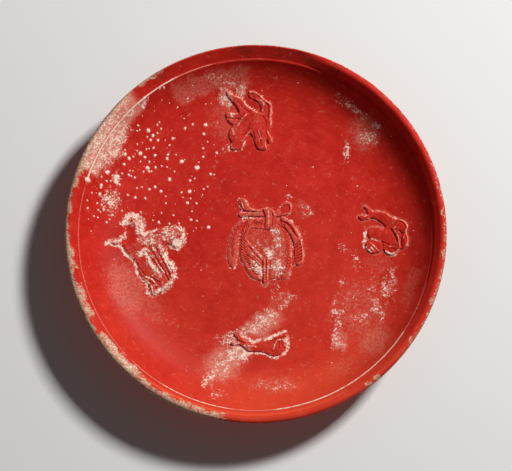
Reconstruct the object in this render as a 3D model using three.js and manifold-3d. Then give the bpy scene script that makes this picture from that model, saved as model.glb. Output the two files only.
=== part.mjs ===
// A wheel-thrown dish of red-slipped ware: a thrown body, a foot ring luted under it and five
// mould-made reliefs applied to the floor, a tied wreath in the middle and four leaping beasts round it.
// Millimetres, +Z up. The origin is on the dish's axis, in the plane that the foot stands on.
import * as THREE from 'three';
import { mergeVertices } from 'three/addons/utils/BufferGeometryUtils.js';
import Module from 'manifold-3d';

const wasm = await Module();
wasm.setup();

// Driving dimensions of the thrown body
const RIM_RADIUS = 90;
const FOOT_HEIGHT = 5.5;
const FLOOR_THICKNESS = 5;
const DISH_RISE = 28.3;        // height that the inside would reach at the rim radius
const DISH_POWER = 8.5;        // a nearly flat floor that sweeps up ever more steeply
const LIP_RADIUS = 1.9;
const WALL_LEAN = 48;          // degrees from level of the straight wall between groove and lip
const GROOVE_RADIUS = 83.7;
const GROOVE_WIDTH = 0.9;
const GROOVE_DEPTH = 0.4;
const OUTER_SPREAD = 93;       // radius at which the outer sweep would reach the full rise
const BASE_RADIUS = 47;        // flat turned base, inside the outer sweep

// Driving dimensions of the foot ring
const FOOT_INNER = 39.5;
const FOOT_OUTER = 43;
const FOOT_FLARE = 3.5;
const LUTING_GAP = 0.1;        // film of slip between the foot and the body

// Facets
const ROUND_STEPS = 60;
const FLOOR_STEPS = 12;
const SWEEP_STEPS = 7;
const LIP_STEPS = 7;
const FOOT_CURVE_STEPS = 2;
const RING_SPACING = 0.65;     // below 1, facet rings crowd together towards the rim
const LIMB_SIDES = 6;
const CAP_STEPS = 2;
const MASS_SIDES = 10;
const MASS_RINGS = 6;
const STEPS_PER_SPAN = 2;
const OUTLINE_STEPS = 1.5;     // facets between two points of an outline, on average

// Driving dimensions of the applied reliefs. Their outlines and lines are drawn in small units from each
// relief's centre, and their heights are millimetres over the dish.
const DRAWING_UNIT = 0.48;
const SEAT_GAP = 0.3;          // film of slip under a relief
const DEEPEST_CUT = 4;         // taller than any relief
const LEAF_HALF_WIDTH = 1.3;
const LEAVES_PER_BRANCH = 7;
const MANE_PITCH = 4.6;

const UNDERSIDE = FOOT_HEIGHT;
const FLOOR_TOP = UNDERSIDE + FLOOR_THICKNESS;

const CLAY = { color: 0xb5281c, roughness: 0.48, metalness: 0 };
const RELIEF_CLAY = { color: 0xb02a1f, roughness: 0.55, metalness: 0 };

/** Height of the dish's inside at a radius. */
function dishHeight(radius) {
  return FLOOR_TOP + DISH_RISE * (radius / RIM_RADIUS) ** DISH_POWER;
}

/** Height of the dish's outside at a radius, flat over the turned base. */
function underHeight(radius) {
  const sweep = (value) => (value / OUTER_SPREAD) ** DISH_POWER;
  return UNDERSIDE + DISH_RISE * Math.max(0, sweep(radius) - sweep(BASE_RADIUS));
}

/** Radii of the facet rings on the floor, from the axis to the groove, closer together where it curves. */
function floorRadii() {
  const outermost = GROOVE_RADIUS - GROOVE_WIDTH / 2;
  return Array.from({ length: FLOOR_STEPS + 1 }, (_, i) => outermost * (i / FLOOR_STEPS) ** RING_SPACING);
}

/** Points of the dish's inside, from the axis to the groove's inner edge. */
function floorProfile(lift = 0) {
  return floorRadii().map((radius) => new THREE.Vector2(radius, dishHeight(radius) + lift));
}

/** A turned solid about the Z axis, from a profile of radius and height that closes on the axis or on itself. */
function turned(profile) {
  return new THREE.LatheGeometry(profile, ROUND_STEPS).rotateX(Math.PI / 2);
}

/** The thrown body: base, outer sweep, rounded lip, straight wall, incised groove, and floor. */
function plateBody() {
  const outside = [new THREE.Vector2(0, UNDERSIDE)];
  for (let i = 0; i <= SWEEP_STEPS; i += 1) {
    const radius = BASE_RADIUS + (RIM_RADIUS - BASE_RADIUS) * (i / SWEEP_STEPS) ** RING_SPACING;
    outside.push(new THREE.Vector2(radius, underHeight(radius)));
  }

  // The wall runs straight up from the groove's outer edge and meets the lip's arc at a tangent.
  const wallFoot = GROOVE_RADIUS + GROOVE_WIDTH / 2;
  const lean = THREE.MathUtils.degToRad(WALL_LEAN);
  const lipCentre = RIM_RADIUS - LIP_RADIUS;
  const wallRun = lipCentre - LIP_RADIUS * Math.sin(lean) - wallFoot;
  const lipHeight = dishHeight(wallFoot) + wallRun * Math.tan(lean) - LIP_RADIUS * Math.cos(lean);
  const lip = new THREE.EllipseCurve(lipCentre, lipHeight, LIP_RADIUS, LIP_RADIUS, 0, lean + Math.PI / 2);

  const groove = [
    new THREE.Vector2(wallFoot, dishHeight(wallFoot)),
    new THREE.Vector2(GROOVE_RADIUS + GROOVE_DEPTH / 2, dishHeight(GROOVE_RADIUS) - GROOVE_DEPTH),
  ];
  return turned([...outside, ...lip.getPoints(LIP_STEPS), ...groove, ...floorProfile().reverse()]);
}

/** The foot ring: a low coil with a flat standing edge, flaring up to the base that it is luted to. */
function footRing() {
  const top = UNDERSIDE - LUTING_GAP;
  const waist = FOOT_OUTER + FOOT_FLARE / 2;
  const outline = new THREE.Path()
    .moveTo(FOOT_INNER, 0)
    .lineTo(FOOT_OUTER, 0)
    .quadraticCurveTo(waist, top / 4, waist, top / 2)
    .quadraticCurveTo(waist, top, FOOT_OUTER + FOOT_FLARE, top)
    .lineTo(FOOT_INNER - FOOT_FLARE, top)
    .quadraticCurveTo(FOOT_INNER, top, FOOT_INNER, 0);
  return turned(outline.getPoints(FOOT_CURVE_STEPS));
}

/** Value at a fraction of the way along a list, eased straight from each entry to the next. */
function along(values, fraction) {
  const place = fraction * (values.length - 1);
  const start = Math.min(Math.floor(place), values.length - 2);
  return THREE.MathUtils.lerp(values[start], values[start + 1], place - start);
}

/** A tapering roll of clay: a capsule bent along a line, with its half width and height given at each point. */
function limb(line, halfWidths, heights) {
  const length = 2 * (line.length - 1);
  const stops = line.map(([x, y]) => new THREE.Vector3(x, y, 0).multiplyScalar(DRAWING_UNIT));
  const curve = new THREE.CatmullRomCurve3(stops);
  const roll = new THREE.CapsuleGeometry(1, length, CAP_STEPS, LIMB_SIDES, STEPS_PER_SPAN * (line.length - 1));
  const points = roll.attributes.position;
  for (let i = 0; i < points.count; i += 1) {
    const fraction = THREE.MathUtils.clamp(points.getY(i) / length + 0.5, 0, 1);
    const past = points.getY(i) - (fraction - 0.5) * length;
    const half = along(halfWidths, fraction) * DRAWING_UNIT;
    const tangent = curve.getTangent(fraction);
    const spot = curve.getPoint(fraction);
    spot.addScaledVector(tangent, past * half);
    spot.x += tangent.y * points.getX(i) * half;
    spot.y -= tangent.x * points.getX(i) * half;
    points.setXYZ(i, spot.x, spot.y, points.getZ(i) * along(heights, fraction));
  }
  return roll;
}

/** A low rounded mass of clay: half lengths along and across, its height, and its turn in degrees. */
function mass([x, y], halfLength, halfWidth, height, turn = 0) {
  return new THREE.SphereGeometry(1, MASS_SIDES, MASS_RINGS)
    .rotateX(Math.PI / 2)
    .scale(halfLength * DRAWING_UNIT, halfWidth * DRAWING_UNIT, height)
    .rotateZ(THREE.MathUtils.degToRad(turn))
    .translate(x * DRAWING_UNIT, y * DRAWING_UNIT, 0);
}

/** A closed solid from a geometry whose seams are merged. */
function solidOf(geometry) {
  const bare = new THREE.BufferGeometry();
  bare.setAttribute('position', geometry.attributes.position);
  bare.setIndex(geometry.index);
  const merged = mergeVertices(bare);
  const corners = merged.index.array;
  const triangles = [];
  for (let i = 0; i < corners.length; i += 3) {
    const [a, b, c] = corners.slice(i, i + 3);
    if (a !== b && b !== c && c !== a) {
      triangles.push(a, b, c);
    }
  }
  return new wasm.Manifold(new wasm.Mesh({
    numProp: 3,
    vertProperties: new Float32Array(merged.attributes.position.array),
    triVerts: new Uint32Array(triangles),
  }));
}

/** A geometry from a closed solid. */
function geometryOf(solid) {
  const { vertProperties, triVerts } = solid.getMesh();
  const geometry = new THREE.BufferGeometry();
  geometry.setAttribute('position', new THREE.BufferAttribute(vertProperties, 3));
  geometry.setIndex(new THREE.BufferAttribute(triVerts, 1));
  geometry.computeVertexNormals();
  return geometry;
}

/** Everything below the film of slip that the reliefs lie on, with the floor's own facets. */
function floorBed() {
  const surface = floorProfile(SEAT_GAP).reverse();
  const depth = new THREE.Vector2(0, 0);
  const edge = new THREE.Vector2(surface[0].x, 0);
  return solidOf(turned([depth, edge, ...surface]));
}

/** The layer of clay between two heights over the dish's floor, with the floor's own facets. */
function layer(bottom, top) {
  return solidOf(turned([...floorProfile(bottom), ...floorProfile(top).reverse()]));
}

/** An outline's upright prism at a relief's centre, cut to the layer between two heights over the dish. */
function slab([centreX, centreY], { outline, top, bottom = SEAT_GAP }) {
  const corners = outline.map(([x, y]) => new THREE.Vector3(x, y, 0).multiplyScalar(DRAWING_UNIT));
  const edge = new THREE.CatmullRomCurve3(corners, true).getPoints(Math.round(OUTLINE_STEPS * outline.length));
  const shape = new THREE.Shape(edge.slice(1).map((point) => new THREE.Vector2(point.x, point.y)));
  const prism = new THREE.ExtrudeGeometry(shape, { depth: RIM_RADIUS, bevelEnabled: false });
  return solidOf(prism.translate(centreX, centreY, 0)).intersect(layer(bottom, top));
}

/** A roll or mass moved to its relief's centre and bent to lie on the dish. */
function laid([centreX, centreY], piece) {
  piece.translate(centreX, centreY, 0);
  const points = piece.attributes.position;
  for (let i = 0; i < points.count; i += 1) {
    points.setZ(i, points.getZ(i) + dishHeight(Math.hypot(points.getX(i), points.getY(i))));
  }
  return solidOf(piece);
}

/** A relief: slabs and swelling forms joined, hollows sunk and grooves cut in them, trimmed to the dish. */
function relief(centre, { slabs, forms, hollows = [], grooves = [] }, bed) {
  const added = [...slabs.map((lump) => slab(centre, lump)), ...forms.map((form) => laid(centre, form))];
  const cut = [...hollows.map((field) => slab(centre, field)), ...grooves.map((groove) => laid(centre, groove))];
  const whole = added.reduce((sum, solid) => sum.add(solid));
  return geometryOf(cut.reduce((rest, solid) => rest.subtract(solid), whole).subtract(bed));
}

/** A groove: a roll of even width laid at the height of a slab's top, to be cut away. */
function groove(line, halfWidth, depth, top) {
  const even = (value) => line.map(() => value);
  return limb(line, even(halfWidth), even(depth)).translate(0, 0, top);
}

/** Leaves in a row along a stalk, to one side and the other in turn. */
function leaves(stalk, count, length, spread, height) {
  const curve = new THREE.CatmullRomCurve3(stalk.map(([x, y]) => new THREE.Vector3(x, y, 0)));
  return Array.from({ length: count }, (_, number) => {
    const fraction = (number + 0.5) / count;
    const foot = curve.getPointAt(fraction);
    const heading = curve.getTangentAt(fraction);
    const side = THREE.MathUtils.degToRad(number % 2 ? spread : -spread);
    const tip = heading.applyAxisAngle(new THREE.Vector3(0, 0, 1), side).multiplyScalar(length).add(foot);
    return limb([[foot.x, foot.y], [tip.x, tip.y]], [LEAF_HALF_WIDTH, LEAF_HALF_WIDTH / 2], [height, height]);
  });
}

/** The wreath: a ribbon bow over a sunk heart-shaped field, leafy branches round it, two swags and a stem. */
function wreath() {
  const branches = {
    outline: [
      [-15, 24], [-22, 19], [-24.5, 11], [-25.5, 1], [-26, -9], [-25, -16], [-22, -23], [-18.5, -29],
      [-15, -35], [-9, -38], [-4, -39.5], [-1.5, -44], [1, -44], [3.5, -40], [9, -37], [16, -38],
      [22, -36.5], [25, -30], [26.5, -22], [26.5, -12], [26, -3], [25, 5], [22, 12], [18, 18], [12, 24],
    ],
    top: 1.05,
  };
  const leftSwag = {
    outline: [
      [-22, 22.5], [-29, 17.5], [-34, 10], [-36.5, 1], [-38, -9], [-38, -17], [-35.5, -24], [-32, -26.5],
      [-29, -23], [-27, -15], [-26.5, -5], [-25.5, 5], [-22, 13], [-16, 18],
    ],
    top: 0.8,
  };
  const rightSwag = {
    outline: [
      [16, 26], [23, 23], [30, 15.5], [35, 6.5], [37.5, -3], [38.5, -13], [37.5, -21], [33.5, -24],
      [30, -21], [29, -13], [28.5, -4], [26, 4], [21.5, 11.5], [15, 17],
    ],
    top: 0.8,
  };
  const upperTail = {
    outline: [
      [-26, 43.5], [-20, 44], [-17.5, 38], [-14, 34.5], [-8, 33], [2, 33], [2, 29.5], [-15, 31],
      [-23, 32.5], [-25, 37],
    ],
    top: 1,
  };
  const lowerTail = {
    outline: [[-25, 30], [-14, 30], [2, 30], [2, 26], [-15, 26], [-24, 25], [-26.5, 27]],
    top: 0.9,
  };
  const loop = {
    outline: [[7, 29], [14.5, 34.5], [19, 39.5], [23.5, 41], [26.5, 36], [25.5, 30], [20, 27], [7, 25]],
    top: 1,
  };
  const heart = {
    outline: [
      [-15, 13], [-8, 14], [-1, 13], [6, 13], [12, 11.5], [14.5, 5], [14, -3], [10.5, -9.5], [5, -15],
      [-0.5, -18], [-5, -14.5], [-11, -7.5], [-16.5, -1], [-18.5, 5],
    ],
    bottom: 0.6,
    top: DEEPEST_CUT,
  };
  const loopEye = {
    outline: [[15, 32.5], [19.5, 37], [23.5, 38], [24.5, 34], [23, 30.5], [17, 29]],
    bottom: 0.6,
    top: DEEPEST_CUT,
  };
  const knot = limb([[4, 31], [4.5, 22], [4.5, 15]], [5.4, 6, 6], [1.7, 2, 1.7]);
  const swagRolls = [
    limb([[-24, 17], [-31, 8], [-33, -6], [-33, -20]], [3.6, 4.2, 4.4, 3.2], [1.2, 1.5, 1.5, 1.2]),
    limb([[22, 17], [30, 7], [33.6, -6], [33.6, -18]], [3.6, 4.2, 4.4, 3.4], [1.2, 1.5, 1.5, 1.2]),
  ];
  const heartEdge = limb([[-18, 1], [-14, -3.5], [-9, -8.5], [-4, -15]], [1, 1.1, 1.1, 1], [1.3, 1.5, 1.5, 1.4]);
  const rib = limb([[-14, -11], [-10, -14.5], [-5.5, -19]], [1, 1, 0.9], [1.4, 1.4, 1.3]);
  const stem = limb([[0, -17], [0.2, -30], [0, -41]], [3.2, 3, 2.2], [1.5, 1.6, 1.3]);
  const foliage = [
    ...leaves([[-16, 20], [-22, 8], [-22, -6], [-17, -20], [-10, -33]], LEAVES_PER_BRANCH, 4.6, 35, 1.45),
    ...leaves([[14, 18], [20.5, 5], [21.5, -9], [20.5, -22], [15, -34]], LEAVES_PER_BRANCH, 4.6, 35, 1.45),
  ];
  return {
    slabs: [branches, leftSwag, rightSwag, upperTail, lowerTail, loop],
    forms: [...swagRolls, heartEdge, rib, stem, ...foliage, knot],
    hollows: [heart, loopEye],
    grooves: [
      groove([[-1.6, 31], [-0.5, 24], [-1.5, 15]], 0.8, 0.7, 1.7),
      groove([[9.4, 28], [10, 21], [9.5, 15]], 0.8, 0.7, 1.5),
    ],
  };
}

/** The upper beast: leaping to the left with its head raised and its long tail curled up over its back. */
function topBeast() {
  const body = {
    outline: [
      [-23.5, 29.5], [-16, 25.5], [-9, 23], [-3, 16], [3, 11.5], [7, 9.5], [13, 8], [16, 2], [17, -6],
      [19, -12], [22, -17], [21.5, -21], [18.5, -22.5], [16.5, -19], [16, -23], [17, -27.5], [14, -29.5],
      [8, -28.5], [5.5, -25], [3.5, -19], [2, -15], [-1, -13], [-4, -18], [-7, -25.5], [-12, -29],
      [-18.5, -28.5], [-20, -25], [-19, -21], [-21.5, -16], [-21, -9], [-18, -4], [-20.5, -2.5],
      [-23.5, 2], [-24.5, 7.5], [-20, 9.5], [-11.5, 8.5], [-14, 14], [-18.5, 19.5], [-23, 25],
    ],
    top: 1.15,
  };
  const tail = {
    outline: [
      [-1.5, 29.5], [5, 29.5], [10, 26], [16, 21], [21, 18], [22, 12], [21.5, 4], [22, -3], [18.5, -9],
      [14, -5], [13.5, 4], [11, 9], [10.5, 13], [9, 17.5], [5, 21], [-1, 23.5],
    ],
    top: 0.75,
  };
  const tailStrands = [
    limb([[1, 27.6], [6, 27], [12, 22.6], [18.8, 16.4], [20, 9], [19.6, 0]], [1.4, 1.5, 1.6, 1.6, 1.5, 1.4],
      [1, 1.1, 1.1, 1.1, 1.1, 1.1]),
    limb([[5, 21.8], [11, 19.4], [13, 16], [12.4, 9]], [1.2, 1.3, 1.3, 1.2], [1, 1.1, 1.1, 1.1]),
  ];
  const head = limb([[-19, 24], [-12, 19], [-5, 12]], [2, 4, 5], [1.3, 1.5, 1.6]);
  const shoulder = mass([-9, 6], 10, 6.5, 1.65, -35);
  const haunch = mass([5, -5], 11, 7.5, 1.7, 80);
  const thighs = [mass([-12, -17], 8.5, 5.5, 1.6, 60), mass([11, -21], 7.5, 4, 1.55, 85)];
  return {
    slabs: [body, tail],
    forms: [...tailStrands, head, shoulder, haunch, ...thighs],
    grooves: [
      groove([[12.5, 5], [15, 0], [15.5, -8], [16, -13]], 1, 0.6, 1.15),
      groove([[-22, 2.6], [-15, 2.2], [-9.5, 1.6]], 0.9, 0.5, 1.15),
    ],
  };
}

/** The right-hand beast: a hind leg stretched out behind, a rounded haunch, and its head tucked down. */
function rightBeast() {
  const body = {
    outline: [
      [-20.5, 23.5], [-17, 24], [-13, 20], [-7, 18.5], [0, 18], [5, 15], [10, 11.5], [16, 10], [21, 7],
      [23.5, 2], [22, -3], [23.5, -9], [23, -15], [19, -19.5], [15.5, -20], [13, -22], [10, -25.5],
      [4, -25.5], [0.5, -22.5], [-1.5, -20.5], [-5, -23], [-12, -24], [-16.5, -21], [-19.5, -16],
      [-18, -11.5], [-15, -9], [-17, -4], [-15.5, 1], [-12, 3.5], [-4, 2.5], [1, 3], [-4, 8],
      [-11, 11.5], [-16, 10.5], [-22, 9.5], [-26, 12.5], [-24, 15], [-17, 15], [-17.5, 19],
    ],
    top: 1.1,
  };
  const stretchedLeg = limb([[-14, 17.6], [-4, 14.4], [7, 8]], [2, 3.6, 4.6], [1.3, 1.5, 1.6]);
  const haunch = mass([-3, -4], 12, 5.5, 1.65, -12);
  const head = mass([16, 2], 6.5, 5.5, 1.6);
  const lobe = mass([20, -13], 2.8, 5.2, 1.5);
  const shin = limb([[-14, -13], [-10, -17], [-6, -21]], [1.4, 1.6, 1.2], [1.4, 1.6, 1.4]);
  const paws = [mass([5.6, -15.6], 4.4, 2, 1.5), mass([6.4, -20.8], 4, 2.2, 1.5)];
  return {
    slabs: [body],
    forms: [stretchedLeg, haunch, head, lobe, shin, ...paws],
    grooves: [
      groove([[6.5, 0], [10, -6], [12.4, -12.5]], 1, 0.6, 1.2),
      groove([[-15, -9.4], [-10, -9.8], [-4, -12], [1, -13.4]], 0.9, 0.5, 1.1),
      groove([[16.6, -9], [16.8, -18]], 0.9, 0.6, 1.1),
    ],
  };
}

/** The lower beast: a slim hound at full stretch, its back to the rim. */
function bottomBeast() {
  const body = {
    outline: [
      [-26, 11.5], [-23, 13.5], [-20, 11.5], [-18, 7.5], [-14, 4.5], [-10, 3], [-6, 1], [-3, 2.5], [2, 4],
      [7, 5], [11, 6], [16, 8.5], [21, 11.5], [25, 13], [27, 11], [26, 7], [26.5, 4], [27, -1], [25, -6],
      [21.5, -9.5], [16, -11.5], [10, -10.5], [5, -8], [-2, -7], [-10, -7], [-13.5, -5.5], [-17, -2],
      [-20.5, 0], [-24.5, -1], [-28, -0.5], [-29, 2], [-26, 3.5], [-21.5, 3], [-22, 5.5], [-24.5, 8],
    ],
    top: 1.15,
  };
  const trunk = limb([[-15, 0.5], [-4, -2], [8, -2.5]], [2.6, 3.4, 4.6], [1.4, 1.5, 1.6]);
  const haunch = mass([18, -3.6], 7.4, 6.4, 1.65);
  return {
    slabs: [body],
    forms: [trunk, haunch],
    grooves: [
      groove([[10, 3.4], [16, 5], [24.6, 7.3]], 0.9, 0.6, 1.15),
      groove([[-22, 3.8], [-15, 1]], 0.9, 0.5, 1.15),
      groove([[-4, 1.6], [6, 3.6]], 0.8, 0.4, 1.15),
    ],
  };
}

/** The left-hand beast: a maned body set aslant, a paw flung out and the head turned up. */
function leftBeast() {
  const body = {
    outline: [
      [-20, 35], [-15, 38], [-9, 35.5], [-5.5, 29], [-4, 23], [3, 23.5], [13, 26], [25, 27], [34, 27],
      [38, 22], [37.5, 14], [33, 7], [27, 6], [22, 9.5], [18, 8], [19, 2], [21.5, -4], [25, -8], [28, -14],
      [28.5, -21], [26, -29], [21, -34], [15.5, -38.5], [10, -41.5], [5, -41], [2, -36], [0.5, -30],
      [-5.5, -24], [-9, -17], [-10.5, -10], [-16.5, -3.5], [-22, 2], [-25.5, 8], [-34, 9], [-37.5, 12],
      [-33, 14.5], [-26, 14.5], [-21, 18], [-21, 26],
    ],
    top: 1.2,
  };
  const head = mass([-13, 28], 8.5, 6, 1.65, 75);
  const shoulder = mass([-10, 9], 10.5, 7.5, 1.7, -40);
  const flank = mass([5, -14], 19, 8.5, 1.8, -60);
  const paw = mass([29, 17.5], 7.5, 6, 1.6, 20);
  const maneGrooves = [0, 1, 2, 3].map((lock) => {
    const shift = MANE_PITCH * lock;
    return groove([[-1 + shift, 4], [5 + shift, -6], [13 + shift, -20]], 0.9, 0.6, 1.5 - 0.1 * lock);
  });
  return {
    slabs: [body],
    forms: [head, shoulder, flank, paw],
    grooves: [
      ...maneGrooves,
      groove([[-6, -15], [-2, -21], [5, -24], [13, -28]], 1, 0.6, 1.3),
      groove([[-5, 7], [3, 8], [10, 7], [16, 12]], 1, 0.5, 1.2),
      groove([[8, 22.5], [16, 18.5], [19, 13]], 1.1, 0.5, 1.2),
    ],
  };
}

const group = new THREE.Group();

/** Adds a named piece to the dish. */
function addPiece(name, geometry, clay) {
  const piece = new THREE.Mesh(geometry, new THREE.MeshStandardMaterial(clay));
  piece.name = name;
  group.add(piece);
}

addPiece('plate_body', plateBody(), CLAY);
addPiece('foot_ring', footRing(), CLAY);

const bed = floorBed();
const reliefs = [
  ['wreath_relief', [4.5, -2.5], wreath()],
  ['top_beast_relief', [-2.7, 56], topBeast()],
  ['right_beast_relief', [61.3, 3.4], rightBeast()],
  ['bottom_beast_relief', [2, -51.5], bottomBeast()],
  ['left_beast_relief', [-51.9, -8.4], leftBeast()],
];
for (const [name, centre, design] of reliefs) {
  addPiece(name, relief(centre, design, bed), RELIEF_CLAY);
}

export default group;
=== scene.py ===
"""A red-slipped dish with applied reliefs, dressed for rendering: body, foot ring, reliefs and lime crust.

Shapes are worked out in millimetres and put into the scene in metres. The origin is on the dish's axis, in
the plane that the foot stands on, with +Z up.
"""
from __future__ import annotations

import logging
import math
from collections.abc import Callable
from dataclasses import dataclass
from enum import Enum

import bpy
import numpy as np
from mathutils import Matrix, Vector, noise


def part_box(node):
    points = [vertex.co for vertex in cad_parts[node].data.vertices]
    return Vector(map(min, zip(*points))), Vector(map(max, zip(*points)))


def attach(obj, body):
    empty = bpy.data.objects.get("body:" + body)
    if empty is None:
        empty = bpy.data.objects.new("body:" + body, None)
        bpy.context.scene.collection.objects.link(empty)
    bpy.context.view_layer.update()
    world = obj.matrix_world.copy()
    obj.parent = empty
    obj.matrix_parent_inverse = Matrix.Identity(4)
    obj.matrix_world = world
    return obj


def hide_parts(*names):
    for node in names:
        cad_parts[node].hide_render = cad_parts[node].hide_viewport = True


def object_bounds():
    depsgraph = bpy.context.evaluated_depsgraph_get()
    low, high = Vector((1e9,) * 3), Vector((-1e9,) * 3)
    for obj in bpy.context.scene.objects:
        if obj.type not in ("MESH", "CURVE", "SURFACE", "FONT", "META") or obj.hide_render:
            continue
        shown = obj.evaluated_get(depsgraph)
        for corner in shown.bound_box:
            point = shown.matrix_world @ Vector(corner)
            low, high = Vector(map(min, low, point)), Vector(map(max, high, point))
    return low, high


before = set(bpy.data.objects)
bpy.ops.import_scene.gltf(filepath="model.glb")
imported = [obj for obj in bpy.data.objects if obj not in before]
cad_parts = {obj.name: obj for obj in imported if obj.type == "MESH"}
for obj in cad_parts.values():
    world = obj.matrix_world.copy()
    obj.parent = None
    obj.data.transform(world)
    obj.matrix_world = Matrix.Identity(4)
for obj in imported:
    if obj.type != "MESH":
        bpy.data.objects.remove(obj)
CAD_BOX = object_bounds()

LOG = logging.getLogger("dish")
MM = 0.001  # One millimetre, in metres
SEED = 7  # Starts the random draws for the drops
TINY = 1e-9  # Keeps a division off zero
DRAWING_UNIT = 0.48  # Millimetres in one unit of the drawn lines
BURIED = -0.35  # Depth to which a relief's edge runs into the dish, in millimetres
SIDE_SLOPE = 2.2  # Fall of a relief's side for each millimetre outside its outline
ROUNDING = 1.5  # Power that rounds the foot of a swell or a stroke
GROOVE_RADIUS = 83.7  # Radius of the incised groove, in millimetres
KEY_LIGHT_HEADING = (0.74, 0.67)  # Heading of the key light, towards the upper right: relief edges that face it get a painted highlight as extra pale wear
THICKEST = 1.5  # Most lime or haze at a point, where 1 hides the slip

Point = tuple[float, float]
Line = tuple[Point, ...]
Span = tuple[float, float]
Colour = tuple[float, float, float]
Faces = list[tuple[int, ...]]


class Slot(str, Enum):
    """Material slots of the record."""

    BODY = "red_slip"
    FOOT = "foot_slip"
    RELIEF = "relief_slip"
    CRUST = "lime_crust"


class Mark(str, Enum):
    """Values stored at each vertex, which the materials read."""

    CRUST = "crust"
    HAZE_AND_PAINTED_SHEEN = "haze"
    WEAR_AND_HIGHLIGHT = "wear"
    THIN = "thin"
    DARKENING = "darkening"


# Shader maths


class Shade:
    """A value that varies over a surface, with arithmetic that adds Math nodes."""

    def __init__(self, graph: Graph, socket: bpy.types.NodeSocket) -> None:
        """Wraps one output socket of a graph."""
        self.graph = graph
        self.socket = socket

    def __add__(self, other: Shade | float) -> Shade:
        """Sum."""
        return self.graph.maths("ADD", self, other)

    def __radd__(self, other: float) -> Shade:
        """Sum with a plain number first."""
        return self.graph.maths("ADD", other, self)

    def __sub__(self, other: Shade | float) -> Shade:
        """Difference."""
        return self.graph.maths("SUBTRACT", self, other)

    def __rsub__(self, other: float) -> Shade:
        """Difference with a plain number first."""
        return self.graph.maths("SUBTRACT", other, self)

    def __mul__(self, other: Shade | float) -> Shade:
        """Product."""
        return self.graph.maths("MULTIPLY", self, other)

    def __rmul__(self, other: float) -> Shade:
        """Product with a plain number first."""
        return self.graph.maths("MULTIPLY", other, self)

    def __truediv__(self, other: Shade | float) -> Shade:
        """Quotient."""
        return self.graph.maths("DIVIDE", self, other)

    def __rtruediv__(self, other: float) -> Shade:
        """Quotient with a plain number first."""
        return self.graph.maths("DIVIDE", other, self)

    def __pow__(self, other: Shade | float) -> Shade:
        """Power."""
        return self.graph.maths("POWER", self, other)

    def largest(self, other: Shade | float) -> Shade:
        """The larger of two values."""
        return self.graph.maths("MAXIMUM", self, other)

    def rise(self, low: float, high: float) -> Shade:
        """0 below low, 1 above high and a smooth step between."""
        inputs = {"Value": self, "From Min": low, "From Max": high}
        return self.graph.shade("ShaderNodeMapRange", {"interpolation_type": "SMOOTHSTEP"}, inputs)


Input = Shade | float | tuple[float, ...]


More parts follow.
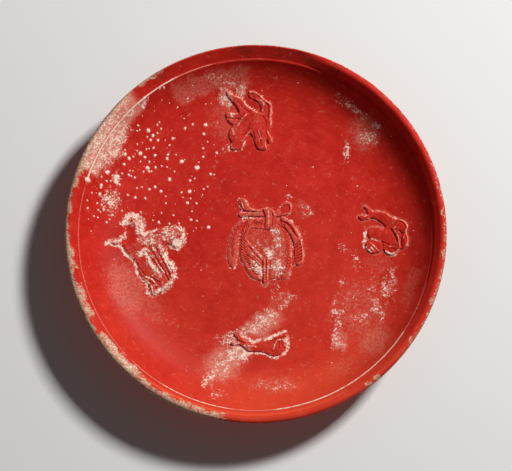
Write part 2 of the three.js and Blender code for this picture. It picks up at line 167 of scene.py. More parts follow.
class Graph:
    """The node tree of one material or world."""

    def __init__(self, owner: bpy.types.Material | bpy.types.World) -> None:
        """Starts an empty tree on its owner.

        Args:
            owner: The material or world.
        """
        owner.use_nodes = True
        self.tree = owner.node_tree
        self.tree.nodes.clear()

    def add(self, kind: str, settings: dict[str, object], inputs: dict[str | int, Input]) -> bpy.types.Node:
        """Adds any node.

        Args:
            kind: The node's type.
            settings: Properties, set first.
            inputs: A number, tuple or link for each socket, by name or number.

        Returns:
            The node.
        """
        node = self.tree.nodes.new(kind)
        for name, value in settings.items():
            setattr(node, name, value)
        for name, value in inputs.items():
            if isinstance(value, Shade):
                self.tree.links.new(value.socket, node.inputs[name])
            else:
                node.inputs[name].default_value = value
        return node

    def shade(self, kind: str, settings: dict[str, object], inputs: dict[str | int, Input],
              output: str | int = 0) -> Shade:
        """Adds any node and wraps one of its outputs.

        Args:
            kind: The node's type.
            settings: Properties, set first.
            inputs: A number, tuple or link for each socket, by name or number.
            output: The output to wrap.

        Returns:
            The wrapped output.
        """
        return Shade(self, self.add(kind, settings, inputs).outputs[output])

    def maths(self, operation: str, first: Shade | float, second: Shade | float) -> Shade:
        """One Math node on two values."""
        return self.shade("ShaderNodeMath", {"operation": operation}, {0: first, 1: second})

    def blend(self, share: Shade | float, start: Input, end: Input) -> Shade:
        """Mixes two colours.

        Args:
            share: 0 for the first colour, 1 for the second.
            start: First colour, red, green and blue or a link.
            end: Second colour.

        Returns:
            The mixed colour.
        """
        whole = [(*colour, 1.0) if isinstance(colour, tuple) else colour for colour in (start, end)]
        settings = {"data_type": "RGBA", "clamp_factor": True}
        return self.shade("ShaderNodeMix", settings, {0: share, 6: whole[0], 7: whole[1]}, output=2)

    def place(self) -> Shade:
        """Position on the object, in metres."""
        return self.shade("ShaderNodeTexCoord", {}, {}, output="Object")

    def mark(self, name: Mark) -> Shade:
        """A value stored at the vertices."""
        return self.shade("ShaderNodeAttribute", {"attribute_name": name.value}, {}, output="Fac")

    def grain(self, place: Shade, size: float, detail: float = 2.0, roughness: float = 0.5) -> Shade:
        """Cloudy noise.

        Args:
            place: Position that the noise is read at, in metres.
            size: Width of one cloud, in millimetres.
            detail: Number of finer layers.
            roughness: Weight of the finer layers.

        Returns:
            Noise about one half.
        """
        inputs = {"Vector": place, "Scale": 1.0 / (size * MM), "Detail": detail, "Roughness": roughness}
        return self.shade("ShaderNodeTexNoise", {}, inputs)

    def wheel_place(self, place: Shade, wound_radius: float) -> Shade:
        """Position wound onto a small circle, so that noise read there runs in streaks round the dish.

        Args:
            place: Position on the object, in metres.
            wound_radius: Radius of the circle that a full turn becomes, in millimetres.

        Returns:
            The wound position.
        """
        parts = self.add("ShaderNodeSeparateXYZ", {}, {0: place})
        across, up, height = (Shade(self, parts.outputs[number]) for number in range(3))
        axis_radius = 0.1 * MM
        radius = (across * across + up * up + axis_radius**2) ** 0.5
        stretch = wound_radius * MM
        wound = {0: across / radius * stretch, 1: up / radius * stretch, 2: radius + height}
        return self.shade("ShaderNodeCombineXYZ", {}, wound)

    def finish(self, surface: dict[str, Input], bump: Shade, depth: float) -> None:
        """Ends the tree in a principled surface with a bump.

        Args:
            surface: The shader's sockets.
            bump: Height of the bump, about 0 to 1.
            depth: What a height of 1 stands for, in millimetres.
        """
        normal = self.shade("ShaderNodeBump", {}, {"Strength": 1.0, "Distance": depth * MM, "Height": bump})
        shader = self.shade("ShaderNodeBsdfPrincipled", {}, {**surface, "Normal": normal})
        self.add("ShaderNodeOutputMaterial", {}, {"Surface": shader})


# Finishes


def new_material(name: str) -> tuple[bpy.types.Material, Graph]:
    """A new material and its empty tree."""
    made = bpy.data.materials.new(name)
    return made, Graph(made)


@dataclass(frozen=True)
class LimeCrust:
    """Pale lime left by the ground: chalky, patchy, stained pink where it is thin.

    Sizes are in millimetres. A span gives the values at which something begins and is complete.
    """

    pale: Colour = (0.88, 0.68, 0.55)
    stained: Colour = (0.76, 0.33, 0.25)
    roughness: float = 0.86
    bump_depth: float = 0.08

    # Sizes of the grains
    cloud: float = 3.12
    clump: float = 2.4
    crumb: float = 0.95

    # What makes the crust pale
    cloud_light: float = 1.2
    crumb_light: float = 1.8
    thick_light: float = 0.5
    pale_span: Span = (1.52, 2.06)
    plain_amount: float = 0.6

    # Where the crust and its film lie
    clump_weight: float = 2.5
    crumb_weight: float = 3.4
    crust_span: Span = (0.40, 0.80)
    density: float = 0.94
    film_span: Span = (0.15, 0.95)
    film: float = 0.32
    trace_span: Span = (0.04, 0.3)

    def colour(self, graph: Graph, place: Shade, amount: Shade | float) -> Shade:
        """Colour of the crust, from stained where it is thin to pale where it is thick.

        Args:
            graph: The material's tree.
            place: Position on the object.
            amount: How much crust there is, from 0, and 1 where it hides the slip.

        Returns:
            The colour.
        """
        clouds = graph.grain(place, self.cloud, detail=3.0, roughness=0.65)
        crumbs = graph.grain(place, self.crumb, detail=3.0, roughness=0.7)
        light = clouds * self.cloud_light + crumbs * self.crumb_light + amount * self.thick_light
        return graph.blend(light.rise(*self.pale_span), self.stained, self.pale)

    def cover(self, graph: Graph, place: Shade, amount: Shade) -> Shade:
        """Where the crust lies.

        Args:
            graph: The material's tree.
            place: Position on the object.
            amount: How much crust there is, from 0, and 1 where it hides the slip.

        Returns:
            0 on bare slip, nearly 1 on crust.
        """
        clumps = graph.grain(place, self.clump, detail=3.0, roughness=0.6)
        crumbs = graph.grain(place, self.crumb, detail=3.0, roughness=0.7)
        ragged = amount + (clumps - 0.5) * self.clump_weight + (crumbs - 0.5) * self.crumb_weight
        crust = ragged.rise(*self.crust_span) * self.density
        wash = (amount + clumps - 0.5).rise(*self.film_span) * self.film
        return crust.largest(wash) * amount.rise(*self.trace_span)

    def material(self, name: str) -> bpy.types.Material:
        """A material of crust alone.

        Args:
            name: The material's name.

        Returns:
            The material.
        """
        made, graph = new_material(name)
        place = graph.place()
        bumps = graph.grain(place, self.crumb, detail=3.0)
        surface = {"Base Color": self.colour(graph, place, self.plain_amount), "Roughness": self.roughness}
        graph.finish(surface, bumps, self.bump_depth)
        return made


@dataclass(frozen=True)
class Flecks:
    """Fine marks of another colour, which show where a grain runs high."""

    size: float
    strength: float
    detail: float = 2.0
    roughness: float = 0.5
    span: Span = (0.58, 0.74)

    def over(self, graph: Graph, place: Shade, slip: Shade, colour: Colour) -> Shade:
        """Lays the marks over the slip.

        Args:
            graph: The material's tree.
            place: Position that the grain is read at.
            slip: Colour under the marks.
            colour: Colour of the marks.

        Returns:
            The mixed colour.
        """
        grain = graph.grain(place, self.size, self.detail, self.roughness)
        return graph.blend(grain.rise(*self.span) * self.strength, slip, colour)


@dataclass(frozen=True)
class Film:
    """A thin film on the slip, broken up by the slip's clouds and by dust."""

    gain: float
    cloud_weight: float
    dust_weight: float
    span: Span
    trace: float
    strength: float

    def cover(self, amount: Shade, clouds: Shade, dust: Shade) -> Shade:
        """Share of the slip that the film hides.

        Args:
            amount: How much film there is.
            clouds: Noise of the slip's mottling.
            dust: Finer noise.

        Returns:
            0 on clear slip, and the film's strength where it is whole.
        """
        broken = (clouds - 0.5) * self.cloud_weight + (dust - 0.5) * self.dust_weight
        patchy = (amount * self.gain + broken).rise(*self.span)
        return patchy * amount.rise(0.0, self.trace) * self.strength


@dataclass(frozen=True)
class RedSlip:
    """Satin red slip over buff clay, mottled, wiped on the wheel and worn.

    Sizes are in millimetres. A span gives the values at which something begins and is complete.
    """

    deep: Colour = (0.43, 0.0125, 0.0080)
    bright: Colour = (0.53, 0.0220, 0.0135)
    dull: Colour = (0.33, 0.0150, 0.0100)
    thin: Colour = (0.72, 0.085, 0.034)
    # Colour of the smudges and the haze, with which haze patches also paint the key light's sheen
    veil_and_painted_sheen: Colour = (0.68, 0.24, 0.17)
    clay: Colour = (0.60, 0.415, 0.285)
    earth: Colour = (0.38, 0.19, 0.11)
    darkening: Colour = (0.13, 0.012, 0.009)

    # Mottling, streaks round the wheel, specks and dust
    mottle: float = 7.0
    streak: float = 1.2
    streak_share: float = 0.25
    tone_span: Span = (0.31, 0.69)
    wound_radius: float = 9.0
    speck: float = 0.7
    speck_span: Span = (0.60, 0.74)
    speck_strength: float = 0.45
    dust: float = 1.1
    bare_span: Span = (0.36, 0.6)

    # What lies over the slip
    wheel_lines: Flecks = Flecks(size=0.45, strength=0.34)
    smudges: Flecks = Flecks(size=2.4, strength=0.42, detail=4.0, roughness=0.75)
    darkening_film: Film = Film(
        gain=1.0, cloud_weight=1.6, dust_weight=1.4, span=(0.15, 0.95), trace=0.2, strength=0.9
    )
    haze_and_painted_sheen_film: Film = Film(
        gain=1.3, cloud_weight=0.0, dust_weight=1.25, span=(0.2, 1.2), trace=0.15, strength=0.92
    )
    crust: LimeCrust = LimeCrust()

    # Gloss and bumps
    roughness: float = 0.46
    cloud_roughness: float = 0.25
    speck_roughness: float = 0.15
    worn_roughness: float = 0.3
    sheen: float = 0.07
    bump_depth: float = 0.06
    speck_height: float = 0.16
    streak_height: float = 0.12
    crust_height: float = 1.3
    crust_level: float = 0.7
    crust_lumps: float = 0.9

    def material(self, name: str) -> bpy.types.Material:
        """Slip with haze, wear and crust where the mesh's marks put them.

        Args:
            name: The material's name.

        Returns:
            The material.
        """
        made, graph = new_material(name)
        place = graph.place()
        wound = graph.wheel_place(place, self.wound_radius)
        clouds = graph.grain(place, self.mottle, detail=4.0, roughness=0.6)
        streaks = graph.grain(wound, self.streak, detail=3.0)
        specks = graph.grain(place, self.speck, detail=2.0)
        dust = graph.grain(place, self.dust, detail=3.0, roughness=0.75)

        # The slip itself
        tone = clouds * (1.0 - self.streak_share) + streaks * self.streak_share
        slip = graph.blend(tone.rise(*self.tone_span), self.deep, self.bright)
        slip = graph.blend(specks.rise(*self.speck_span) * self.speck_strength, slip, self.dull)
        slip = self.wheel_lines.over(graph, wound, slip, self.thin)
        slip = graph.blend(graph.mark(Mark.THIN), slip, self.thin)

        # Smudges, darker slip, haze with its painted sheen, bare clay and crust, one over the other
        slip = self.smudges.over(graph, place, slip, self.veil_and_painted_sheen)
        slip = graph.blend(self.darkening_film.cover(graph.mark(Mark.DARKENING), clouds, dust), slip, self.darkening)
        slip = graph.blend(self.haze_and_painted_sheen_film.cover(graph.mark(Mark.HAZE_AND_PAINTED_SHEEN), clouds, dust), slip, self.veil_and_painted_sheen)
        # On the reliefs the wear mark also holds the painted highlight of edges facing the key light
        worn = self.crust.cover(graph, place, graph.mark(Mark.WEAR_AND_HIGHLIGHT))
        bare = graph.blend(dust.rise(*self.bare_span), self.earth, self.clay)
        slip = graph.blend(worn, slip, bare)
        lime = graph.mark(Mark.CRUST)
        crust = self.crust.cover(graph, place, lime)
        colour = graph.blend(crust, slip, self.crust.colour(graph, place, lime))

        satin = (clouds - 0.5) * self.cloud_roughness + (specks - 0.5) * self.speck_roughness
        dry = worn * self.worn_roughness + crust * (self.crust.roughness - self.roughness)
        lumps = self.crust_level + graph.grain(place, self.crust.crumb) * self.crust_lumps
        fine_bumps = specks * self.speck_height + streaks * self.streak_height
        surface = {
            "Base Color": colour,
            "Roughness": self.roughness + satin + dry,
            "Specular IOR Level": self.sheen,
        }
        graph.finish(surface, fine_bumps + crust * lumps * self.crust_height, self.bump_depth)
        return made


@dataclass(frozen=True)
class PaleFloor:
    """Plain pale studio floor, which is seen only from above and lets the fill through to the foot."""

    colour: Colour = (0.70, 0.69, 0.67)
    roughness: float = 0.9

    def material(self, name: str) -> bpy.types.Material:
        """The floor's material.

        Args:
            name: The material's name.

        Returns:
            The material.
        """
        made, graph = new_material(name)
        below = graph.shade("ShaderNodeNewGeometry", {}, {}, output="Backfacing")
        seen = graph.shade("ShaderNodeLightPath", {}, {}, output="Is Camera Ray")
        surface = {"Base Color": (*self.colour, 1.0), "Roughness": self.roughness}
        pale = graph.shade("ShaderNodeBsdfPrincipled", {}, surface)
        clear = graph.shade("ShaderNodeBsdfTransparent", {}, {})
        shown = graph.shade("ShaderNodeMixShader", {}, {0: below.largest(1.0 - seen), 1: pale, 2: clear})
        graph.add("ShaderNodeOutputMaterial", {}, {"Surface": shown})
        return made


BODY_FINISH = RedSlip()
FOOT_FINISH = RedSlip(bright=(0.5, 0.03, 0.018), roughness=0.6)
RELIEF_FINISH = RedSlip(
    # Pinkish clay of the worn relief, which also paints the highlight on edges facing the key light
    clay=(0.80, 0.38, 0.27),
    earth=(0.66, 0.20, 0.13),
    roughness=0.5,
    mottle=3.0,
    crust_height=2.2,
)
DROP_FINISH = LimeCrust(pale=(0.86, 0.74, 0.62), stained=(0.84, 0.58, 0.46))


# Modelled clay: places on the dish, and slabs, hollows, swells and strokes as heights over it


def smooth_line(line: Line, steps: int, closed: bool = False) -> np.ndarray:
    """Samples a smooth line through points.

    Args:
        line: The points that the line passes through.
        steps: Samples in each span.
        closed: Whether the last point joins the first.

    Returns:
        The sampled points, one row each.
    """
    points = np.asarray(line, float)
    if closed:
        padded = np.vstack([points[-1], points, points[:2]])
    else:
        padded = np.vstack([2 * points[0] - points[1], points, 2 * points[-1] - points[-2]])
    part = (np.arange(steps) / steps)[:, None]
    spans = []
    for before, start, end, after in zip(padded, padded[1:], padded[2:], padded[3:]):
        spans.append(
            start
            + 0.5 * part * (end - before)
            + part**2 * (before - 2.5 * start + 2 * end - 0.5 * after)
            + 0.5 * part**3 * (3 * (start - end) + after - before)
        )
    if not closed:
        spans.append(points[-1:])
    return np.vstack(spans)


def eased(share: np.ndarray) -> np.ndarray:
    """0 below 0, 1 above 1 and a smooth step between."""
    part = np.clip(share, 0.0, 1.0)
    return part * part * (3.0 - 2.0 * part)


@dataclass(frozen=True)
class Places:
    """Points seen from above: across and up, in millimetres from the axis or from a relief's centre."""

    x: np.ndarray
    y: np.ndarray

    @property
    def radius(self) -> np.ndarray:
        """Distance of each point from the middle."""
        return np.hypot(self.x, self.y)

    def about(self, centre: Point | np.ndarray) -> Places:
        """The same points, measured from another middle."""
        return Places(self.x - centre[0], self.y - centre[1])

    def only(self, chosen: np.ndarray) -> Places:
        """Those of the points that are chosen."""
        return Places(self.x[chosen], self.y[chosen])

    def off_heading(self, heading: float) -> np.ndarray:
        """Degrees between the direction of each point from the middle and a heading."""
        return np.abs((np.degrees(np.arctan2(self.y, self.x)) - heading + 180.0) % 360.0 - 180.0)

    def cloud(self, size: float, layer: float) -> np.ndarray:
        """Smooth random values, about -1 to 1, in clouds of a given size. Each layer is another pattern."""
        return np.array([noise.noise(Vector((u, v, layer))) for u, v in zip(self.x / size, self.y / size)])

    def pushed_about(self, reach: float, size: float) -> Places:
        """The points pushed about at random, which makes the edges of lime ragged.

        Args:
            reach: How far points are pushed.
            size: Width of the larger waves of the edge.

        Returns:
            The pushed points.
        """
        fine_share = 0.7
        fine_size = 0.4 * size
        pushes = []
        for layer in (1.0, 2.0):
            fine = self.cloud(fine_size, layer + 0.5)
            pushes.append(self.cloud(size, layer) + fine_share * fine)
        return Places(self.x + reach * pushes[0], self.y + reach * pushes[1])

    def gap(self, start: np.ndarray, end: np.ndarray) -> np.ndarray:
        """Distance to one straight segment.

        Args:
            start: First end of the segment.
            end: Second end of the segment.

        Returns:
            Distance of each point.
        """
        way = end - start
        off = self.about(start)
        share = np.clip((off.x * way[0] + off.y * way[1]) / max(way @ way, TINY), 0.0, 1.0)
        return np.hypot(off.x - share * way[0], off.y - share * way[1])

    def depth(self, outline: Line) -> np.ndarray:
        """How deep the points lie inside a closed outline, negative outside.

        Args:
            outline: The outline's points, in drawing units.

        Returns:
            Signed distance to the outline, in millimetres.
        """
        ring = smooth_line(outline, steps=4, closed=True) * DRAWING_UNIT
        gap = np.full(self.x.shape, np.inf)
        inside = np.zeros(self.x.shape, bool)
        for start, end in zip(ring, np.roll(ring, -1, axis=0)):
            gap = np.minimum(gap, self.gap(start, end))
            level = (start[1] > self.y) != (end[1] > self.y)
            rise = end[1] - start[1] if end[1] != start[1] else TINY
            inside ^= level & (self.x < start[0] + (self.y - start[1]) * (end[0] - start[0]) / rise)
        return np.where(inside, gap, -gap)

    def off_oval(self, half_length: float, half_width: float, turn: float) -> np.ndarray:
        """How far out the points lie in a turned oval round the middle.

        Args:
            half_length: Half length of the oval.
            half_width: Half width of the oval.
            turn: Angle of its length from +X towards +Y, in degrees.

        Returns:
            0 in the middle of the oval and 1 on its edge.
        """
        angle = math.radians(turn)
        along = (self.x * math.cos(angle) + self.y * math.sin(angle)) / half_length
        across = (self.y * math.cos(angle) - self.x * math.sin(angle)) / half_width
        return np.hypot(along, across)


@dataclass(frozen=True)
class Slab:
    """A flat lump with a rounded edge, drawn by its outline."""

    outline: Line
    height: float
    edge: float = 0.55
    softness: float = 0.5

    def lift(self, depth: np.ndarray) -> np.ndarray:
        """Height over the dish, falling below it outside the outline.

        Args:
            depth: How deep points lie inside the outline, in millimetres.

        Returns:
            Height of each point, in millimetres.
        """
        rounding = 1.0 - np.clip(depth / self.edge, 0.0, 1.0)
        raised = self.height * (1.0 - rounding**2) ** self.softness
        return np.where(depth > 0, raised, np.maximum(SIDE_SLOPE * depth, BURIED))


@dataclass(frozen=True)
class Hollow:
    """A sunk field with a soft edge, drawn by its outline."""

    outline: Line
    depth: float
    edge: float = 0.5

    def lift(self, places: Places) -> np.ndarray:
        """Change of height over the field, never positive."""
        return -self.depth * eased(0.5 + places.depth(self.outline) / self.edge)


@dataclass(frozen=True)
class Swell:
    """A soft rise, as of a shoulder or a haunch."""

    centre: Point
    half_length: float
    half_width: float
    rise: float
    turn: float = 0.0

    def lift(self, places: Places) -> np.ndarray:
        """Change of height over the field.

        Args:
            places: Points measured from the relief's centre.

        Returns:
            Rise at each point.
        """
        drawn = Places(places.x / DRAWING_UNIT, places.y / DRAWING_UNIT).about(self.centre)
        off = drawn.off_oval(self.half_length, self.half_width, self.turn)
        return self.rise * np.clip(1.0 - off**2, 0.0, None) ** ROUNDING


@dataclass(frozen=True)
class Stroke:
    """A narrow ridge along a line, or a groove where the rise is negative."""

    line: Line
    rise: float
    half_width: float = 0.5

    def lift(self, places: Places) -> np.ndarray:
        """Change of height over the field.

        Args:
            places: Points measured from the relief's centre.

        Returns:
            Rise at each point.
        """
        path = smooth_line(self.line, steps=6) * DRAWING_UNIT
        low = path.min(axis=0) - self.half_width
        high = path.max(axis=0) + self.half_width
        near = (places.x > low[0]) & (places.x < high[0]) & (places.y > low[1]) & (places.y < high[1])
        close = places.only(near)
        gap = np.min([close.gap(start, end) for start, end in zip(path, path[1:])], axis=0)
        change = np.zeros(places.x.shape)
        change[near] = self.rise * np.clip(1.0 - (gap / self.half_width) ** 2, 0.0, 1.0) ** ROUNDING
        return change


def ribs(line: Line, pitch: float, length: float, angle: float, rise: float,
         half_width: float = 0.35) -> tuple[Stroke, ...]:
    """Short strokes side by side along a line, as hatching or leaf veins.

    Args:
        line: The line that the strokes stand along, in drawing units.
        pitch: Distance between strokes, in drawing units.
        length: Length of a stroke, in drawing units.
        angle: Angle between a stroke and the line, in degrees.
        rise: Rise of each stroke, in millimetres, negative for grooves.
        half_width: Half width of each stroke, in millimetres.

    Returns:
        The strokes in order.
    """
    path = smooth_line(line, steps=10)
    runs = np.r_[0.0, np.cumsum(np.linalg.norm(np.diff(path, axis=0), axis=1))]

    def spot(run: float) -> np.ndarray:
        """Point at a run along the line."""
        return np.array([np.interp(run, runs, path[:, axis]) for axis in (0, 1)])

    strokes = []
    either_side = 0.5
    for run in np.arange(pitch / 2, runs[-1], pitch):
        way = spot(run + either_side) - spot(run - either_side)
        heading = math.atan2(way[1], way[0]) + math.radians(angle)
        half = 0.5 * length * np.array([math.cos(heading), math.sin(heading)])
        strokes.append(Stroke((tuple(spot(run) - half), tuple(spot(run) + half)), rise, half_width))
    return tuple(strokes)


@dataclass(frozen=True)
class Design:
    """One relief: where it sits, its lumps, the modelling on them and the lime that clings to it.

    Lines are in drawing units from the centre, heights and widths in millimetres.
    """

    name: str
    centre: Point
    slabs: tuple[Slab, ...]
    modelling: tuple[Hollow | Swell | Stroke, ...]
    lime: tuple[Swell | Stroke, ...] = ()

    # Height: how flat the relief is pressed, its least, and where the modelling is full
    flatness: float = 0.88
    thinnest: float = 0.15
    full_modelling: float = 0.6

    # Lime along the outline, and how ragged all of the lime is
    edge_lime: float = 0.4
    edge_reach: float = 0.7
    edge_shift: float = 0.3
    edge_flat: float = 1.3
    ragged: float = 0.5
    ragged_size: float = 2.4

    # Haze: a halo outside the outline, and dust on top that stays out of deep cuts
    halo: float = 0.25
    halo_reach: float = 1.8
    dust: float = 0.06
    dusted_cut: float = 0.35
    top_edge: float = 0.2

    # Wear along the crest of the edge and on the ridges, less on the side away from the key light: the extra
    # wear on edges facing the light is a painted highlight
    edge_wear_and_highlight: float = 0.9
    crest: float = 0.3
    crest_half: float = 0.22
    crest_flat: float = 1.25
    key_light_step: float = 0.4
    unlit_side_wear: float = 0.3
    ridge_wear: float = 0.7

    def depth(self, places: Places) -> np.ndarray:
        """How deep points lie inside the relief's outline, at places measured from its centre."""
        return np.max([places.depth(slab.outline) for slab in self.slabs], axis=0)

    def height(self, places: Places) -> np.ndarray:
        """Height over the dish.

        Args:
            places: Points measured from the relief's centre.

        Returns:
            Height in millimetres, below zero outside the outline.
        """
        top = np.max([slab.lift(places.depth(slab.outline)) for slab in self.slabs], axis=0)
        change = sum(form.lift(places) for form in self.modelling)
        least = np.minimum(top, self.thinnest)
        shaped = np.maximum(top + change * np.clip(top / self.full_modelling, 0.0, 1.0), least)
        return np.where(shaped > 0, shaped * self.flatness, shaped)

    def wear_and_highlight(self, places: Places) -> np.ndarray:
        """Slip worn off along the outer edge and the ridges, with a painted highlight: the edge's wear is
        strongest where it faces the key light.

        Args:
            places: Points measured from the relief's centre.

        Returns:
            Amount of wear and painted highlight, 0 to 1.
        """
        depth = self.depth(places)
        # Painted highlight: how far each point's edge faces the key light, read one step towards it
        step = self.key_light_step
        ahead = self.depth(Places(places.x + step * KEY_LIGHT_HEADING[0], places.y + step * KEY_LIGHT_HEADING[1]))
        facing_key_light = np.clip((depth - ahead) / step, 0.0, 1.0)
        crest = np.clip(self.crest_flat - np.abs(depth - self.crest) / self.crest_half, 0.0, 1.0)
        amount = self.edge_wear_and_highlight * crest * (self.unlit_side_wear + (1.0 - self.unlit_side_wear) * facing_key_light)
        for form in self.modelling:
            if isinstance(form, Stroke) and form.rise > 0:
                ridge = form.lift(places) / form.rise
                amount = np.maximum(amount, self.ridge_wear * self.edge_wear_and_highlight * ridge)
        return amount

    def film(self, places: Places) -> np.ndarray:
        """Thin haze of lime on the relief's raised parts and just outside its outline.

        Args:
            places: Points measured from the relief's centre.

        Returns:
            Amount of haze, 0 to 1.
        """
        depth = self.depth(places)
        cut = sum(np.minimum(form.lift(places), 0.0) for form in self.modelling)
        on_top = self.dust * np.clip(1.0 + cut / self.dusted_cut, 0.0, 1.0)
        beside = self.halo * np.clip(1.0 + depth / self.halo_reach, 0.0, 1.0)
        return np.where(depth > self.top_edge, on_top, beside)

    def crust(self, places: Places) -> np.ndarray:
        """Lime on and round the relief.

        Args:
            places: Points measured from the relief's centre.

        Returns:
            Amount of lime, from 0, and 1 where it hides the slip.
        """
        pushed = places.pushed_about(self.ragged, self.ragged_size)
        off_edge = np.abs(self.depth(pushed) + self.edge_shift * self.edge_reach)
        amount = self.edge_lime * np.clip(self.edge_flat - off_edge / self.edge_reach, 0.0, 1.0)
        for patch in self.lime:
            amount = np.maximum(amount, patch.lift(pushed))
        return amount


# The designs. A slab has an outline, height, rounded edge and softness; a hollow an outline and depth; a
# stroke a line, rise and half width; a swell a centre, half length, half width, rise and turn

LEFT_SPRAY: Line = ((-17, 20), (-22, 8), (-22, -6), (-17, -20), (-9, -33))
RIGHT_SPRAY: Line = ((15, 17), (20.5, 5), (21.5, -9), (20.5, -22), (15, -34))

WREATH = Design(
    name="wreath_relief",
    centre=(4.5, -2.5),
    slabs=(
        Slab(((-15, 24), (-22, 19), (-24.5, 11), (-25.5, 1), (-26, -9), (-25, -16), (-22, -23), (-18.5, -29),
              (-15, -35), (-9, -38), (-4, -39.5), (-1.5, -44), (1, -44), (3.5, -40), (9, -37), (16, -38),
              (22, -36.5), (25, -30), (26.5, -22), (26.5, -12), (26, -3), (25, 5), (22, 12), (18, 18),
              (12, 24)), 0.95, 1.7, 1.1),
        Slab(((-22, 22.5), (-29, 17.5), (-34, 10), (-36.5, 1), (-38, -9), (-38, -17), (-35.5, -24),
              (-32, -26.5), (-29, -23), (-27, -15), (-26.5, -5), (-25.5, 5), (-22, 13), (-16, 18)), 0.85,
              1.9, 1.0),
        Slab(((16, 26), (23, 23), (30, 15.5), (35, 6.5), (37.5, -3), (38.5, -13), (37.5, -21), (33.5, -24),
              (30, -21), (29, -13), (28.5, -4), (26, 4), (21.5, 11.5), (15, 17)), 1.1, 1.2),
        Slab(((-26, 43.5), (-20, 44), (-17.5, 38), (-14, 34.5), (-8, 33), (2, 33), (2, 29.5), (-15, 31),
              (-23, 32.5), (-25, 37)), 1.0),
        Slab(((-25, 30), (-14, 30), (2, 30), (2, 26), (-15, 26), (-24, 25), (-26.5, 27)), 0.95),
        Slab(((7, 29), (14.5, 34.5), (19, 39.5), (23.5, 41), (26.5, 36), (25.5, 30), (20, 27), (7, 25)), 1.0),
        Slab(((-3, 33), (2, 34.5), (7, 33.5), (11, 29), (11, 22), (10.5, 14), (5, 12), (-1, 13.5), (-2, 22),
              (-1.5, 27)), 1.3, 1.2),
    ),
    modelling=(
        Hollow(((-15, 13), (-8, 14), (-1, 13), (6, 13), (12, 11.5), (14.5, 5), (14, -3), (10.5, -9.5),
                (5, -15), (-0.5, -18), (-5, -14.5), (-11, -7.5), (-16.5, -1), (-18.5, 5)), 0.5),
        Hollow(((15, 32.5), (19.5, 37), (23.5, 38), (24.5, 34), (23, 30.5), (17, 29)), 0.5),
        Stroke(((-18, 1), (-14, -3.5), (-9, -8.5), (-4, -15)), 0.5),
        Stroke(((-16, -5), (-10, -12), (-5, -18)), -0.6),
        Stroke(((-14, -11), (-10, -14.5), (-5.5, -19)), 0.35),
        Stroke(((-18, -13), (-11, -19), (-5.5, -24.5)), -0.55, 0.6),
        Stroke(((-21, -15), (-16, -23), (-11, -31)), -0.45),
        Stroke(((-3, -17), (-3, -30), (-2.6, -41)), -0.8),
        Stroke(((0.7, -18), (0.7, -30)), -0.6, 0.4),
        Stroke(((4.6, -18), (4.2, -37)), -0.5),
        Stroke(((-1, -17), (-1, -40)), 0.5, 0.45),
        Stroke(((2.4, -18), (2, -38)), 0.4, 0.45),
        *ribs(((-1.5, -30), (-1.5, -39)), 2.2, 6, 90, -0.3, 0.3),
        Stroke(((-2.6, 32), (-0.5, 26), (-0.5, 20), (-1.5, 15)), -0.6, 0.6),
        Stroke(((7, 31), (7.5, 25), (6.5, 16)), -0.5, 0.45),
        Stroke(((6, 32.5), (9.5, 27)), 0.4, 0.4),
        Stroke(((3, 32), (3.5, 25), (3, 16)), 0.3, 0.6),
        Stroke(((10, 25), (9.5, 16)), -0.6, 0.5),
        Stroke(((-23.5, 40), (-22, 34.5)), 0.35, 0.5),
        Stroke(((-24.6, 41), (-24, 36), (-22, 33)), -0.5, 0.4),
        *ribs(LEFT_SPRAY, 3.2, 6.5, 38, -0.5, 0.42),
        *ribs(((-20, 20), (-25.5, 8), (-25, -10)), 3.2, 4.5, -32, -0.4, 0.4),
        *ribs(RIGHT_SPRAY, 3.0, 6.0, 30, -0.65, 0.42),
        *ribs(((18, 16), (24, 2), (25, -14), (23, -28)), 3.0, 5.0, -26, -0.55, 0.4),
        *ribs(((31.5, 0), (33.6, -10), (33, -21)), 2.9, 6.5, 118, -1.0, 0.45),
        *ribs(((17, 21.5), (24, 16.5), (29.5, 8)), 4.0, 8.0, 10, -0.75, 0.42),
        *ribs(((-20, 18.5), (-29, 12), (-33, 0), (-33.5, -14)), 4.2, 7.0, 24, -0.4, 0.4),
        *ribs(((-13, 21), (-4, 16.5)), 2.6, 4.0, 70, -0.6, 0.5),
        *ribs(((-11, 17.5), (-2, 20)), 3.0, 3.2, 40, -0.5, 0.45),
        *ribs(((12, 21), (18, 15.5)), 2.6, 3.6, 80, -0.55, 0.45),
    ),
    lime=(
        Swell((11, 2), 7, 14, 0.7, 10),
        Swell((4, -12), 10, 9, 0.8, 40),
        Stroke(((6, 13), (13, 9), (14, -2), (8, -12)), 0.74, 1.3),
        Swell((-6, -28), 7, 14, 0.8, 20),
        Swell((12, -26), 12, 11, 0.66),
        Swell((-13, -22), 9, 10, 0.5),
        Swell((2, -6), 34, 36, 0.22),
        Swell((14, -20), 14, 22, 0.36),
        Stroke(((-18, 1.5), (-14, -3), (-9, -8), (-4, -14)), 0.55, 0.45),
        Stroke(((-23, 25), (-15, 24.6)), 0.8, 0.5),
        Stroke(((17, 26), (22, 24)), 0.6, 0.7),
        Stroke(((-1.5, -43), (1, -43)), 0.7, 0.7),
        Swell((26, 46), 8, 4, 0.5, 10),
    ),
    edge_lime=0.36,
    edge_reach=0.5,
    halo=0.34,
    dust=0.38,
)

